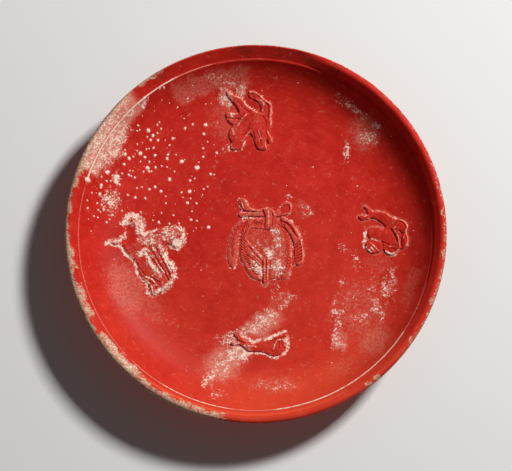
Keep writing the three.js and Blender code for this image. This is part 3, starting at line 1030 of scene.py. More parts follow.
TOP_BEAST = Design(
    name="top_beast_relief",
    centre=(-2.7, 56.0),
    slabs=(
        Slab(((-23.5, 29.5), (-16, 25.5), (-9, 23), (-3, 16), (3, 11.5), (7, 9.5), (13, 8), (16, 2),
              (17, -6), (19, -12), (22, -17), (21.5, -21), (18.5, -22.5), (16.5, -19), (16, -23),
              (17, -27.5), (14, -29.5), (8, -28.5), (5.5, -25), (3.5, -19), (2, -15), (-1, -13), (-4, -18),
              (-7, -25.5), (-12, -29), (-18.5, -28.5), (-20, -25), (-19, -21), (-21.5, -16), (-21, -9),
              (-18, -4), (-20.5, -2.5), (-23.5, 2), (-24.5, 7.5), (-20, 9.5), (-11.5, 8.5), (-14, 14),
              (-18.5, 19.5), (-23, 25)), 1.15, 0.9, 0.7),
        Slab(((-1.5, 29.5), (5, 29.5), (10, 26), (16, 21), (21, 18), (22, 12), (21.5, 4), (22, -3),
              (18.5, -9), (14, -5), (13.5, 4), (11, 9), (10.5, 13), (9, 17.5), (5, 21), (-1, 23.5)), 0.75),
    ),
    modelling=(
        Stroke(((0, 28.3), (5, 28), (10, 24.6), (16, 19.6), (20.3, 16.6), (20.6, 11), (20, 3), (20.4, -3)),
               0.35, 0.7),
        Stroke(((6, 21.6), (11.5, 19.6), (13.6, 17.2), (12.8, 13), (12.2, 9)), 0.4, 0.6),
        Stroke(((16.2, 17.5), (18, 13.5), (17.6, 4)), -0.5, 0.5),
        Stroke(((12.5, 5), (15, 0), (15.5, -8), (16, -13)), -0.8, 0.55),
        Stroke(((-22, 2.6), (-15, 2.2), (-9.5, 1.6)), -0.6, 0.55),
        Stroke(((-18.4, -7), (-16.4, -14)), 0.35, 0.6),
        Stroke(((8, -10), (10.5, -18)), 0.35, 0.6),
        Stroke(((3, -12), (4.6, -18)), -0.4, 0.6),
        Stroke(((-1, -8), (-6, -13), (-12, -15)), -0.35, 0.6),
        Stroke(((17, -14), (17.4, -20)), -0.5, 0.4),
        Stroke(((-12, 18), (-6, 12), (0, 8)), -0.25, 0.6),
        Stroke(((-13, -5), (-8, 2), (-2.5, 8)), 0.35, 0.6),
        Stroke(((-16, -3), (-11, 3), (-6, 7.5)), -0.4, 0.5),
        Stroke(((-9, -6), (-4, 1), (2, 6)), -0.4, 0.5),
        Stroke(((-8, -20), (-3.5, -14.5), (0, -10)), 0.35, 0.6),
        Stroke(((7, -10), (9.5, -17), (10.5, -24)), -0.4, 0.5),
        Swell((-9, 7), 10, 7, 0.45, -35),
        Swell((5, -5), 11, 8, 0.5, 80),
        Swell((-12, -17), 9, 6, 0.4, 60),
        Swell((11, -21), 8, 4.5, 0.35, 85),
    ),
    lime=(
        Stroke(((-23, 30), (-16, 26), (-9, 23.4), (-3, 16.4), (4, 11.4)), 0.9, 0.45),
        Stroke(((0, 29.8), (5, 29.8), (10.4, 26.4), (16.4, 21.4), (21.4, 18), (22, 12), (21.4, 2)), 0.4, 0.4),
        Swell((-25, 22), 7, 8, 0.75),
        Swell((-8, 29), 3.5, 6, 0.7, 20),
        Swell((-17, 6.4), 5, 3.4, 0.7),
        Stroke(((-16, -29), (-11, -29.5), (-7, -26), (-4, -18)), 0.7, 0.5),
        Stroke(((22, -16), (22, -21)), 0.6, 0.4),
    ),
    edge_lime=0.12,
    edge_reach=0.4,
    halo=0.36,
    dust=0.24,
)

RIGHT_BEAST = Design(
    name="right_beast_relief",
    centre=(61.3, 3.4),
    slabs=(
        Slab(((-20.5, 23.5), (-17, 24), (-13, 20), (-7, 18.5), (0, 18), (5, 15), (10, 11.5), (16, 10),
              (21, 7), (23.5, 2), (22, -3), (23.5, -9), (23, -15), (19, -19.5), (15.5, -20), (13, -22),
              (10, -25.5), (4, -25.5), (0.5, -22.5), (-1.5, -20.5), (-5, -23), (-12, -24), (-16.5, -21),
              (-19.5, -16), (-18, -11.5), (-15, -9), (-17, -4), (-15.5, 1), (-12, 3.5), (-4, 2.5), (1, 3),
              (-4, 8), (-11, 11.5), (-16, 10.5), (-22, 9.5), (-26, 12.5), (-24, 15), (-17, 15),
              (-17.5, 19)), 1.1, 0.85, 0.65),
    ),
    modelling=(
        Stroke(((6.5, 0), (10, -6), (12.4, -12.5)), -0.85, 0.6),
        Stroke(((10, -1), (13.6, -8), (15, -18)), 0.35, 0.55),
        Stroke(((-15, -9), (-10, -9.6), (-4, -12), (1, -13.4)), -0.6, 0.55),
        Stroke(((-14, -13), (-10, -17), (-6, -21.4)), 0.45, 0.55),
        Stroke(((-1.6, -13), (-1.6, -20)), -0.7, 0.5),
        Stroke(((2.4, -14.4), (7, -16.4), (10.5, -15.6)), -0.6, 0.45),
        Stroke(((3.4, -20.4), (7, -19), (10.2, -20.2), (9.4, -22.2), (6, -22.4), (3.4, -20.4)), -0.6, 0.4),
        Stroke(((16.6, -9), (16.8, -18)), -0.7, 0.5),
        Stroke(((16.8, -5), (20, -4), (22, -5)), -0.45, 0.45),
        Stroke(((-17, 20.6), (-13, 18.6), (-7, 17), (1, 16.2)), -0.3, 0.4),
        Stroke(((-16, 14.6), (-20, 13.2)), 0.2, 0.5),
        Stroke(((15, 7.4), (18.4, 6), (20.4, 2.6)), -0.45, 0.45),
        Stroke(((14.6, -1.6), (17.6, -5)), -0.55, 0.5),
        Stroke(((19.6, -5), (18.4, -10)), 0.35, 0.45),
        Stroke(((2.6, -17), (10.5, -16.8)), 0.3, 0.35),
        *ribs(((10, 7), (17, 4), (20, 0)), 3.0, 4.2, 76, -0.3, 0.45),
        Swell((-3, -4), 12, 6, 0.5, -12),
        Swell((4, 12), 13, 5.5, 0.4, -28),
        Swell((16, 2), 7, 6, 0.45, 0),
        Swell((20, -13), 3.5, 6, 0.3, 0),
    ),
    lime=(
        Stroke(((-18, 2), (-18.5, -4), (-19.5, -11), (-21, -15), (-17, -19), (-14, -23)), 0.95, 0.9),
        Stroke(((-14, -8.6), (-9, -9.6), (-4, -12)), 0.75, 0.6),
        Stroke(((1, -22), (6, -24.6), (10, -25)), 0.95, 1.0),
        Stroke(((-17, 25), (-13, 21), (-7, 19.4), (0, 18.8), (6, 15), (12, 11.6)), 0.28, 0.4),
        Stroke(((15, -18), (13.8, -8), (10.6, -2)), 0.5, 0.4),
        Stroke(((-13, -18), (-11, -20)), 0.7, 0.6),
        Swell((10, 2), 2, 2, 0.9),
        Swell((21, -2), 3, 3, 0.5),
    ),
    edge_lime=0.28,
    edge_reach=0.5,
    halo=0.5,
    dust=0.16,
)

BOTTOM_BEAST = Design(
    name="bottom_beast_relief",
    centre=(2.0, -51.5),
    slabs=(
        Slab(((-26, 11.5), (-23, 13.5), (-20, 11.5), (-18, 7.5), (-14, 4.5), (-10, 3), (-6, 1), (-3, 2.5),
              (2, 4), (7, 5), (11, 6), (16, 8.5), (21, 11.5), (25, 13), (27, 11), (26, 7), (26.5, 4),
              (27, -1), (25, -6), (21.5, -9.5), (16, -11.5), (10, -10.5), (5, -8), (-2, -7), (-10, -7),
              (-13.5, -5.5), (-17, -2), (-20.5, 0), (-24.5, -1), (-28, -0.5), (-29, 2), (-26, 3.5),
              (-21.5, 3), (-22, 5.5), (-24.5, 8)), 1.15),
    ),
    modelling=(
        Stroke(((13, -5.4), (14.6, 0), (16.6, 3), (21, 4.6)), 0.4, 0.55),
        Stroke(((18.6, 2.6), (18.4, -3.4)), -0.6, 0.5),
        Stroke(((10, 3.2), (16, 5), (25, 7.4)), -0.7, 0.5),
        Stroke(((19, 9), (25.4, 11)), -0.5, 0.45),
        Stroke(((-4, 1.6), (6, 3.6)), -0.4, 0.45),
        Stroke(((-22, 3.8), (-15, 1)), -0.6, 0.5),
        Stroke(((21, 0), (24, -4)), -0.35, 0.5),
        Stroke(((-12, -1), (-4, -2.5)), 0.2, 0.7),
        Swell((2, -2.5), 15, 4.5, 0.35, 0),
        Swell((18, -4), 8, 7, 0.45, 0),
        Swell((-14, 0), 7, 4, 0.3, -25),
    ),
    lime=(
        Stroke(((-20, 13), (-17, 8.4), (-11, 5), (-6, 2.6), (0, 5), (8, 6.2), (16, 9.6), (25, 14)), 0.85,
                1.4),
        Stroke(((-12, -8), (-2, -8.4), (6, -9.4), (12, -12), (18, -12.4), (25, -8), (28, -2), (28, 6)),
                0.82, 1.1),
        Stroke(((13.4, -4.6), (15, 0.6), (17, 3.6), (22, 5), (25, 2)), 0.7, 0.6),
        Swell((-20, -9), 13, 9, 0.85, -10),
        Swell((-12, -7), 6, 3.5, 0.7),
        Swell((26, 2), 3, 7, 0.75),
    ),
    edge_lime=0.5,
    edge_reach=0.7,
    ragged=0.25,
)

LEFT_BEAST = Design(
    name="left_beast_relief",
    centre=(-51.9, -8.4),
    slabs=(
        Slab(((-20, 35), (-15, 38), (-9, 35.5), (-5.5, 29), (-4, 23), (3, 23.5), (13, 26), (25, 27),
              (34, 27), (38, 22), (37.5, 14), (33, 7), (27, 6), (22, 9.5), (18, 8), (19, 2), (21.5, -4),
              (25, -8), (28, -14), (28.5, -21), (26, -29), (21, -34), (15.5, -38.5), (10, -41.5), (5, -41),
              (2, -36), (0.5, -30), (-5.5, -24), (-9, -17), (-10.5, -10), (-16.5, -3.5), (-22, 2),
              (-25.5, 8), (-34, 9), (-37.5, 12), (-33, 14.5), (-26, 14.5), (-21, 18), (-21, 26)), 1.1, 1.9,
              1.2),
    ),
    modelling=(
        Stroke(((4, 5), (10, -5), (17, -17), (21, -25)), -0.7, 0.5),
        Stroke(((-1, 3), (5, -5), (11, -13), (15, -22)), -0.7, 0.5),
        Stroke(((9, 6), (16, -7), (21, -17), (24, -24)), -0.65, 0.5),
        Stroke(((14, 5), (20, -8), (25, -18)), -0.5, 0.45),
        Stroke(((-6, -15), (-2, -21), (5, -24), (13, -28)), -0.6, 0.6),
        Stroke(((2, -27), (8, -31), (10, -37)), -0.6, 0.5),
        Stroke(((7, -26), (13, -31), (14, -36)), -0.45, 0.45),
        Stroke(((8, 22.5), (16, 18.5), (19, 13)), -0.6, 0.7),
        Stroke(((22, 13.5), (28, 15), (34, 19)), -0.55, 0.5),
        Stroke(((-5, 7), (3, 8), (10, 7), (16, 12)), -0.6, 0.6),
        Swell((-20, 22), 12, 16, -1.0, 0),
        Swell((-10, 9), 11, 8, 0.45, -40),
        Swell((6, -14), 20, 9, 0.6, -60),
        Swell((30, 18), 9, 7, 0.35, 20),
    ),
    lime=(
        Stroke(((-23, 31), (-19, 37), (-14, 38.5), (-8, 36.5), (-5, 31)), 0.92, 2.7),
        Stroke(((-8, 36), (-5, 30), (-5, 24), (-2, 20)), 0.92, 2.7),
        Stroke(((-14, 36), (-10.5, 28), (-9.5, 21)), 0.75, 1.5),
        Stroke(((-40, 10.5), (-30, 12.5), (-25, 16.5), (-22, 17.5)), 0.85, 1.7),
        Stroke(((-27, 9.5), (-24, 3.5), (-19, -1.5), (-14, -5.5), (-11, -12.5), (-10, -18.5), (-5, -24.5),
                (0, -28.5), (1, -34.5), (0, -38.5)), 0.85, 1.4),
        Swell((-11, 31), 11, 9, 0.5),
        Swell((-6, 0.5), 8, 5, 0.9, 35),
        Swell((3, 14), 17, 11, 0.74, -10),
        Stroke(((-4, 21.5), (3, 22.5), (9, 24.5)), 1.0, 1.2),
        Swell((22, 20), 18, 9, 0.72, 5),
        Swell((30, 11), 9, 8, 1.4),
        Stroke(((28, 28), (34, 26), (36, 20), (36, 12)), 0.84, 1.9),
        Swell((11, -2), 17, 10, 0.44, -58),
        Stroke(((-2, 6), (2, -4.5), (7, -13.5), (14, -20.5)), 0.9, 1.7),
        Stroke(((9, -6.5), (17, -18.5)), 0.7, 0.7),
        Stroke(((12, 9.5), (16, 3.5), (19, -4.5), (23, -10.5), (26, -15.5), (27, -22.5), (24, -27.5),
                (18, -32.5), (11, -37.5), (5, -40.5), (1, -37.5)), 0.78, 2.1),
        Swell((24, -13), 9, 5, 0.88, -55),
        Stroke(((-1, -21.5), (5, -24.5), (9, -30.5)), 0.8, 0.8),
        Stroke(((0, -28), (4, -31), (6, -36)), 0.75, 0.8),
        Swell((8, -16), 30, 20, 0.26, -60),
    ),
    edge_lime=0.5,
    edge_reach=0.8,
    dust=0.3,
)

DESIGNS = (WREATH, TOP_BEAST, RIGHT_BEAST, BOTTOM_BEAST, LEFT_BEAST)


# Lime, haze and wear on the dish


@dataclass(frozen=True)
class Patch:
    """A patch on the dish, in millimetres from the axis, fading at its edge."""

    centre: Point
    half_length: float
    half_width: float
    strength: float
    turn: float = 0.0
    steepness: float = 1.6

    def cover(self, places: Places) -> np.ndarray:
        """Amount at points of the dish, from 0 outside the patch to its strength in the middle."""
        off = places.about(self.centre).off_oval(self.half_length, self.half_width, self.turn)
        return self.strength * np.clip(self.steepness * (1.0 - off), 0.0, 1.0)


@dataclass(frozen=True)
class Arc:
    """A patch that follows the rim: angles in degrees from +X towards +Y, radii in millimetres.

    Its sides fade over one width, centred on the inner and outer radius, and its ends over another.
    """

    start: float
    end: float
    inner: float
    outer: float
    strength: float
    fade: float = 1.6
    ends: float = 4.0

    def cover(self, places: Places) -> np.ndarray:
        """Amount at points of the dish.

        Args:
            places: Points measured from the axis.

        Returns:
            From 0 outside the arc to its strength in the middle.
        """
        radius = places.radius
        middle = (self.start + self.end) / 2
        half = (self.end - self.start) / 2
        along = np.radians(half - places.off_heading(middle)) * radius / self.ends
        across = np.minimum(radius - self.inner, self.outer - radius) / self.fade + 0.5
        return self.strength * np.clip(np.minimum(along, across), 0.0, 1.0)


def groove_lime(start: float, end: float, half_width: float, strength: float) -> Arc:
    """An arc of lime in the incised groove."""
    return Arc(start, end, GROOVE_RADIUS - half_width, GROOVE_RADIUS + half_width, strength, fade=0.25)


def most_of(patches: tuple[Patch | Arc, ...], places: Places) -> np.ndarray:
    """The most that any of the patches lays on each point."""
    return np.max([patch.cover(places) for patch in patches], axis=0)


@dataclass(frozen=True)
class Drop:
    """A drop of lime, placed in drawing units from the axis, with its radius in millimetres."""

    across: float
    up: float
    radius: float

    @property
    def centre(self) -> np.ndarray:
        """Place on the dish, in millimetres."""
        return np.array([self.across, self.up]) * DRAWING_UNIT


@dataclass(frozen=True)
class Weathering:
    """Where lime, haze and its painted sheen, wear, thin slip and darker slip lie on the dish. Lengths are in
    millimetres.
    """

    crust: tuple[Patch | Arc, ...]
    haze: tuple[Patch | Arc, ...]
    wear: tuple[Arc, ...]
    thin: tuple[Patch | Arc, ...]
    darkening: tuple[Patch | Arc, ...]
    groove: tuple[Arc, ...]
    rim_line: tuple[Arc, ...]
    drops: tuple[Drop, ...]
    designs: tuple[Design, ...] = DESIGNS

    # Reach of a relief's lime from its centre, and drift of the patches' edges
    near: float = 26.0
    drift: float = 1.5
    drift_size: float = 5.0

    # Crust cleared beside the groove, and haze in the groove and round the drops
    groove_side: float = 1.2
    groove_cleared: float = 0.6
    groove_film: float = 1.5
    drop_film: float = 0.8
    drop_reach: float = 1.25
    drop_steepness: float = 2.0

    def drifted(self, places: Places) -> Places:
        """Points pushed about at random, which makes the patches' edges ragged."""
        return places.pushed_about(self.drift, self.drift_size)

    def from_designs(self, places: Places, amount: np.ndarray,
                     gathered: Callable[[Design, Places], np.ndarray]) -> np.ndarray:
        """Adds what the reliefs gather to an amount.

        Args:
            places: Points measured from the axis.
            amount: The amount that is there already.
            gathered: The method of a relief that gives its own amount.

        Returns:
            The larger of the amounts.
        """
        for design in self.designs:
            own = places.about(design.centre)
            close = own.radius < self.near
            amount[close] = np.maximum(amount[close], gathered(design, own.only(close)))
        return np.clip(amount, 0.0, THICKEST)

    def lime(self, places: Places) -> np.ndarray:
        """Amount of crust at points of the dish, less beside the groove than away from it.

        Args:
            places: Points measured from the axis.

        Returns:
            From 0 on bare slip, and 1 where the crust hides it.
        """
        beside = np.clip(1.0 - np.abs(places.radius - GROOVE_RADIUS) / self.groove_side, 0.0, 1.0)
        patches = most_of(self.crust, self.drifted(places)) * (1.0 - self.groove_cleared * beside)
        amount = np.maximum(patches, self.in_groove(places) ** 2)
        return self.from_designs(places, amount, Design.crust)

    def veil_and_painted_sheen(self, places: Places) -> np.ndarray:
        """Amount of haze and painted sheen at points of the dish, in the groove and round the drops.

        Args:
            places: Points measured from the axis.

        Returns:
            From 0 on clear slip, and 1 where the haze is thick.
        """
        layers = [most_of(self.haze, self.drifted(places)), self.groove_film * self.in_groove(places)]
        for drop in self.drops:
            off = places.about(drop.centre).radius / drop.radius
            layers.append(self.drop_film * np.clip(self.drop_steepness * (self.drop_reach - off), 0.0, 1.0))
        return self.from_designs(places, np.max(layers, axis=0), Design.film)

    def bare(self, places: Places) -> np.ndarray:
        """Amount of bare clay at points of the lip, from 0 on whole slip to 1 on clay."""
        worn = np.maximum(most_of(self.wear, self.drifted(places)), most_of(self.rim_line, places))
        return np.clip(worn, 0.0, 1.0)

    def in_groove(self, places: Places) -> np.ndarray:
        """Amount of lime that fills the groove."""
        return most_of(self.groove, places)

    def thinned(self, places: Places) -> np.ndarray:
        """Amount by which the slip is thin at points of the dish, partly a painted sheen over the lower left.
        """
        return np.clip(most_of(self.thin, places), 0.0, 1.0)

    def stained(self, places: Places) -> np.ndarray:
        """Amount by which the slip is darkened at points of the dish."""
        return most_of(self.darkening, self.drifted(places))


# The larger drops: across and up from the axis, in drawing units, and radius, in millimetres
DROPS = tuple(Drop(*spot) for spot in (
    (-112, 127, 1.1), (-122, 122, 0.7), (-117, 110, 0.6), (-118, 105, 0.5), (-115.5, 106, 0.45),
    (-107, 106, 1.1), (-102.5, 101.5, 0.9), (-105, 97, 0.75), (-108, 100, 0.5), (-98, 104, 0.55),
    (-97.5, 97, 0.75), (-96, 114.5, 0.55), (-98, 112, 0.5), (-94.5, 108.5, 0.55), (-118, 92.5, 0.5),
    (-113, 94, 0.35), (-118, 86, 0.45), (-115, 83.5, 1.1), (-109, 88, 0.5), (-106.5, 88.5, 0.4),
    (-102, 89.5, 0.65), (-130, 86, 0.5), (-130, 82, 0.85), (-126, 78, 0.95), (-122, 80, 0.5),
    (-110.5, 80, 0.8), (-100.5, 82, 0.8), (-115, 75.5, 0.5), (-106, 76, 0.5), (-131, 72, 0.75),
    (-108, 69.5, 1.1), (-106.5, 66, 0.7), (-104, 66, 0.5), (-100, 70, 0.7), (-94, 71.5, 0.55),
    (-125.5, 66, 0.45), (-122.5, 66, 0.45), (-112, 65.5, 0.5), (-133, 63, 0.5), (-126.5, 62, 0.7),
    (-124, 61, 0.5), (-120.5, 59.5, 0.6), (-147, 63, 1.1), (-138, 59.5, 1.4), (-135.5, 52, 0.6),
    (-138, 53.5, 0.8), (-148, 54.5, 0.6), (-152.5, 58, 0.4), (-144, 55, 0.5), (-165.5, 53, 1.4),
    (-153, 50, 0.8), (-153.5, 47.5, 0.6), (-118.5, 49, 0.5), (-113.5, 50, 0.55), (-106, 48, 0.7),
    (-100.5, 50.5, 0.8), (-94.5, 46, 0.85), (-127.5, 42, 0.6), (-120, 39.5, 0.8), (-110, 39, 0.65),
    (-162, 41.5, 0.5), (-154.5, 41, 0.9), (-166, 33.5, 0.45), (-157, 32, 0.55), (-152.5, 31, 0.5),
    (-166, 26, 0.6), (-156, 25.5, 0.5), (-154, 23.5, 0.4), (-160, 19, 0.45), (-156.5, 18, 0.45),
    (-145, 17, 0.45), (-148, 14, 0.6), (-133, 26, 0.5), (-114.5, 25, 0.5), (-94, 24.5, 0.5),
    (-102.5, 17, 0.4), (-96.5, 15, 0.75), (-68, 138, 0.5), (-78, 129.5, 0.45), (-50, 133.5, 0.4),
    (-71.5, 119, 0.4), (-63, 113.5, 0.65), (-50, 113, 1.0), (-70.5, 109.5, 0.75), (-52, 104, 0.75),
    (-83, 99, 0.75), (-86, 92.5, 0.6), (-48, 96, 0.4), (-52.5, 89.5, 0.6), (-52.5, 81, 0.65),
    (-39, 85, 0.7), (-79.5, 83, 0.45), (-87.5, 83, 0.7), (-88.5, 79, 0.85), (-74, 76, 1.15), (-71, 78, 0.4),
    (-57, 75.5, 0.45), (-58.5, 70, 1.35), (-88.5, 70.5, 0.5), (-81, 66, 0.5), (-45, 63.5, 0.75),
    (-41.5, 63, 0.5), (-86, 58, 1.0), (-65.5, 57, 0.75), (-61, 59, 0.5), (-48, 51, 0.5), (-52, 48.5, 0.55),
    (-74, 45, 0.6), (-66, 46, 1.1), (-65, 39, 0.5), (-68, 34.5, 0.9), (-59, 34, 0.65), (-53, 42.5, 0.4),
    (-72.5, 40, 0.4), (-89.5, 34, 0.55), (-90, 41, 0.4), (-82, 22, 0.6), (-63.5, 26, 0.45),
    (-64.5, 17.5, 0.7), (-58.5, 16.5, 0.5), (-86, 13.5, 0.55), (-76.5, 14, 0.5), (-47, 10, 0.95),
    (-95, 145, 0.6), (-91, 146, 0.6),
))

# A patch has a centre, half length, half width, strength and turn; an arc has a start and an end, an inner
# and an outer radius, a strength and the widths of its fades
WEATHERING = Weathering(
    crust=(
        Arc(132, 161, 85.0, 89.4, 0.5, 2.2),
        Arc(138, 157, 80.5, 88.0, 0.62, 3.0),
        Arc(214, 231, 84.8, 88.8, 0.46, 1.6),
        Arc(231, 250, 86.6, 88.6, 0.22, 1.2),
        Arc(197, 207, 86.2, 88.4, 0.34, 1.2),
        Patch((-68, 44.5), 17, 7.5, 0.76, 61),
        Patch((-76, 33), 7, 6, 0.7, 60),
        Patch((-60, 58), 4, 2.6, 0.55, 44),
        Patch((-54, 63), 5, 2.6, 0.75, 44),
        Patch((-69, 17), 6.5, 9, 0.54),
        Patch((-66.6, 28), 2.4, 3.4, 0.9),
        Patch((-14.8, 67.1), 5, 6.5, 0.5),
        Patch((-7.2, 70.5), 3, 5, 0.5),
        Patch((-11.5, 59), 2, 2.6, 0.8),
        Patch((-12.5, 43), 4, 2.6, 0.5),
        Patch((-15, 75.5), 15, 4.6, 0.3, -6),
        Patch((9.5, 77), 3, 4.5, 0.26),
        Patch((4.8, -39.2), 10, 6, 0.56, 35),
        Patch((-2, -44.5), 9, 4, 0.5, 5),
        Patch((14, -31.5), 9, 3.5, 0.33, 40),
        Patch((9.6, -27), 4, 6, 0.3),
        Patch((-8.6, -55.6), 8, 6, 0.8),
        Patch((-16.3, -61.8), 14, 7, 0.43, 45),
        Patch((-22, -68.5), 6, 3.5, 0.56, 45),
        Patch((-18.2, -76.2), 6, 3.5, 0.42),
        Patch((-13.4, -48.3), 6, 5, 0.55),
        Patch((38.8, -40.6), 4.2, 18, 0.26),
        Patch((39.8, -36), 2.6, 4.2, 0.44, 40),
        Patch((38.9, -42.5), 2.2, 3.0, 0.5),
        Patch((38.6, -51.5), 4.0, 5.0, 0.46),
        Patch((51.5, -38.4), 7.0, 3.4, 0.46, 14),
        Patch((57, -33), 4.4, 4.0, 0.44),
        Patch((60, -38), 2.6, 5.0, 0.38),
        Patch((63, -23), 11, 4.4, 0.46, 72),
        Patch((54.5, -27), 3.0, 6, 0.3),
        Patch((41.5, -22), 3.5, 4.5, 0.25),
        Patch((52, -32), 24, 27, 0.15),
        Patch((9, -71), 15, 5, 0.26),
        Patch((58, 52.7), 3.4, 3, 0.56),
        Patch((52.7, 47.4), 8, 4.6, 0.4, -10),
        Patch((43.6, 41.1), 1.9, 7.5, 0.5),
        Arc(45, 62, 75.0, 79.0, 0.3, 1.6),
        Patch((41.3, -4.8), 3, 4, 0.34),
        Patch((48, -12), 3.6, 7, 0.33, 25),
        Patch((24.4, 12.7), 5, 6, 0.32),
    ),
    haze=(
        Arc(90, 122, 72, 82, 0.42, 3.0),
        Arc(130, 161, 79.5, 90, 0.75, 3.0),
        Patch((-69, 42), 21, 9, 0.6, 61),
        # Thin haze over the shaded wall at the upper right: partly dust, partly a painted sheen that greys
        # its shade
        Arc(36, 112, 73, 84, 0.15, 4.0, 20.0),
        Patch((-34.5, 71), 7, 8, 0.3),
        Patch((-14, 58), 14, 22, 0.34),
        Patch((-14, 67), 6, 8, 0.6),
        Patch((-7.2, 70), 4, 6, 0.6),
        Patch((-15, -60), 18, 13, 0.6, 45),
        Patch((3, -42), 17, 9, 0.6, 30),
        Patch((50, -36), 22, 26, 0.34),
        Patch((56, -50), 14, 11, 0.44, 40),
        Patch((59, -13), 11, 8, 0.3),
        Arc(332, 350, 73.5, 81, 0.32, 3.0),
        Patch((40, -50), 6, 8, 0.5),
        Patch((52, 50), 13, 15, 0.42),
        Patch((12, -31), 13, 8, 0.34, 40),
        Patch((22, 14), 8, 9, 0.3),
        # Painted sheen: these two patches lay the key light's reflection on the lower left wall as a smooth
        # salmon haze
        Patch((-61, -24), 15, 24, 0.42, 22),
        Patch((-50, -34), 19, 11, 0.32, -54),
        Patch((5, -3), 24, 26, 0.3),
        Patch((9, -71), 22, 8, 0.32),
        Patch((42, -62), 16, 8, 0.3, 30),
    ),
    wear=(
        Arc(2, 26, 88.5, 89.7, 0.45, 0.5),
        Arc(119, 135, 88.2, 90.9, 0.72, 0.8),
        Arc(131, 252, 87.8, 90.9, 0.95, 0.8),
        Arc(144, 163, 85.0, 90.9, 0.72, 1.6),
        Arc(184, 192, 86.0, 90.9, 0.9, 1.2),
        Arc(195, 209, 84.8, 90.9, 0.85, 1.6),
        Arc(212, 233, 83.7, 90.9, 1.0, 1.4),
        Arc(230, 262, 86.5, 90.9, 0.82, 1.2),
        Arc(304, 312, 87.0, 90.9, 0.5, 1.2),
        Arc(320, 364, 88.6, 90.9, 0.46, 0.6),
    ),
    thin=(
        Arc(226, 342, 66, 90, 0.5, 14.0, 62.0),
        Patch((35, -50), 90, 70, 0.14),
        # Warmer slip over the lower left, partly a painted sheen of the key light
        Patch((-50, -45), 44, 38, 0.14),
        Arc(230, 304, 85.3, 86.3, 1.0, 0.7, 12.0),
    ),
    darkening=(
        # Darker slip along the far side of the lip, and a patch near the top relief
        Arc(54, 104, 84.4, 90.0, 0.42, 1.0, 14.0),
        Arc(110, 128, 85.0, 90.0, 0.34, 1.0, 10.0),
        Patch((2, 64), 13, 7, 0.22),
    ),
    groove=(
        groove_lime(66, 86, 0.2, 0.14),
        groove_lime(84, 106, 0.2, 0.28),
        groove_lime(103, 120, 0.22, 0.62),
        groove_lime(116, 164, 0.28, 1.4),
        groove_lime(163, 225, 0.18, 0.44),
        groove_lime(225, 345, 0.18, 0.56),
        groove_lime(237, 264, 0.2, 1.0),
        groove_lime(275, 328, 0.24, 1.15),
        groove_lime(345, 426, 0.25, 0.15),
    ),
    rim_line=(
        Arc(-44, 52, 89.4, 91.0, 0.56, 0.4),
        Arc(52, 132, 89.5, 91.0, 0.85, 0.4),
        Arc(132, 252, 88.7, 91.0, 0.95, 0.5),
    ),
    drops=DROPS,
)


# Pieces


def put_in_scene(name: str, data: bpy.types.ID) -> bpy.types.Object:
    """Puts a mesh, light or camera in the scene.

    Args:
        name: The object's name.
        data: The mesh, light or camera.

    Returns:
        The object.
    """
    made = bpy.data.objects.new(name, data)
    bpy.context.scene.collection.objects.link(made)
    return made


def add_mesh(name: str, points: np.ndarray, faces: Faces) -> bpy.types.Object:
    """Puts a smooth-shaded mesh in the scene, riding on the dish.

    Args:
        name: The piece's name.
        points: Vertices in millimetres, one row each.
        faces: Vertex numbers of each face.

    Returns:
        The object.
    """
    mesh = bpy.data.meshes.new(name)
    mesh.from_pydata((points * MM).tolist(), [], faces)
    mesh.polygons.foreach_set("use_smooth", np.ones(len(mesh.polygons), bool))
    mesh.update()
    piece = put_in_scene(name, mesh)
    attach(piece, "root")
    LOG.info("%s: %d vertices, %d faces", name, len(points), len(faces))
    return piece


def set_marks(piece: bpy.types.Object, marks: dict[Mark, np.ndarray]) -> None:
    """Stores values at the vertices of a piece.

    Args:
        piece: The piece.
        marks: A value for each vertex, under each name.
    """
    for name, values in marks.items():
        attribute = piece.data.attributes.new(name.value, "FLOAT", "POINT")
        attribute.data.foreach_set("value", np.ascontiguousarray(values, np.float32))


def rough_noise(points: np.ndarray, size: float) -> np.ndarray:
    """Smooth random values, about -1 to 1, over points in millimetres, with clouds of a given size."""
    return np.array([noise.noise(Vector(point) / size) for point in points])


def turned(profile: np.ndarray, segments: int, on_axis: bool) -> tuple[np.ndarray, Faces]:
    """Turns a profile about the axis, with the solid on the profile's left.

    Args:
        profile: Radius and height of each ring, in millimetres.
        segments: Facets round the axis.
        on_axis: Whether the profile's two ends are closed on the axis; otherwise it closes on itself.

    Returns:
        Vertices, ring by ring, and faces.
    """
    turn = np.linspace(0.0, 2.0 * math.pi, segments, endpoint=False)
    rings = [np.column_stack([r * np.cos(turn), r * np.sin(turn), np.full(segments, z)]) for r, z in profile]
    points = np.vstack(rings)
    count = len(profile)
    faces: Faces = []
    for ring in range(count - 1 if on_axis else count):
        here, there = ring * segments, (ring + 1) % count * segments
        for number in range(segments):
            after = (number + 1) % segments
            faces.append((here + number, here + after, there + after, there + number))
    if on_axis:
        first, last = len(points), len(points) + 1
        ends = [[0.0, 0.0, profile[0][1]], [0.0, 0.0, profile[-1][1]]]
        points = np.vstack([points, ends])
        top = (count - 1) * segments
        for number in range(segments):
            after = (number + 1) % segments
            faces.append((first, after, number))
            faces.append((last, top + number, top + after))
    return points, faces


class Ware:
    """A piece of the dish, which is dressed once it is built."""

    def dress(self, piece: bpy.types.Object, finish: bpy.types.Material) -> None:
        """Gives the built piece its material.

        Args:
            piece: The piece that was built.
            finish: Its material.
        """
        piece.data.materials.clear()
        piece.data.materials.append(finish)
        LOG.info("%s wears %s", piece.name, finish.name)


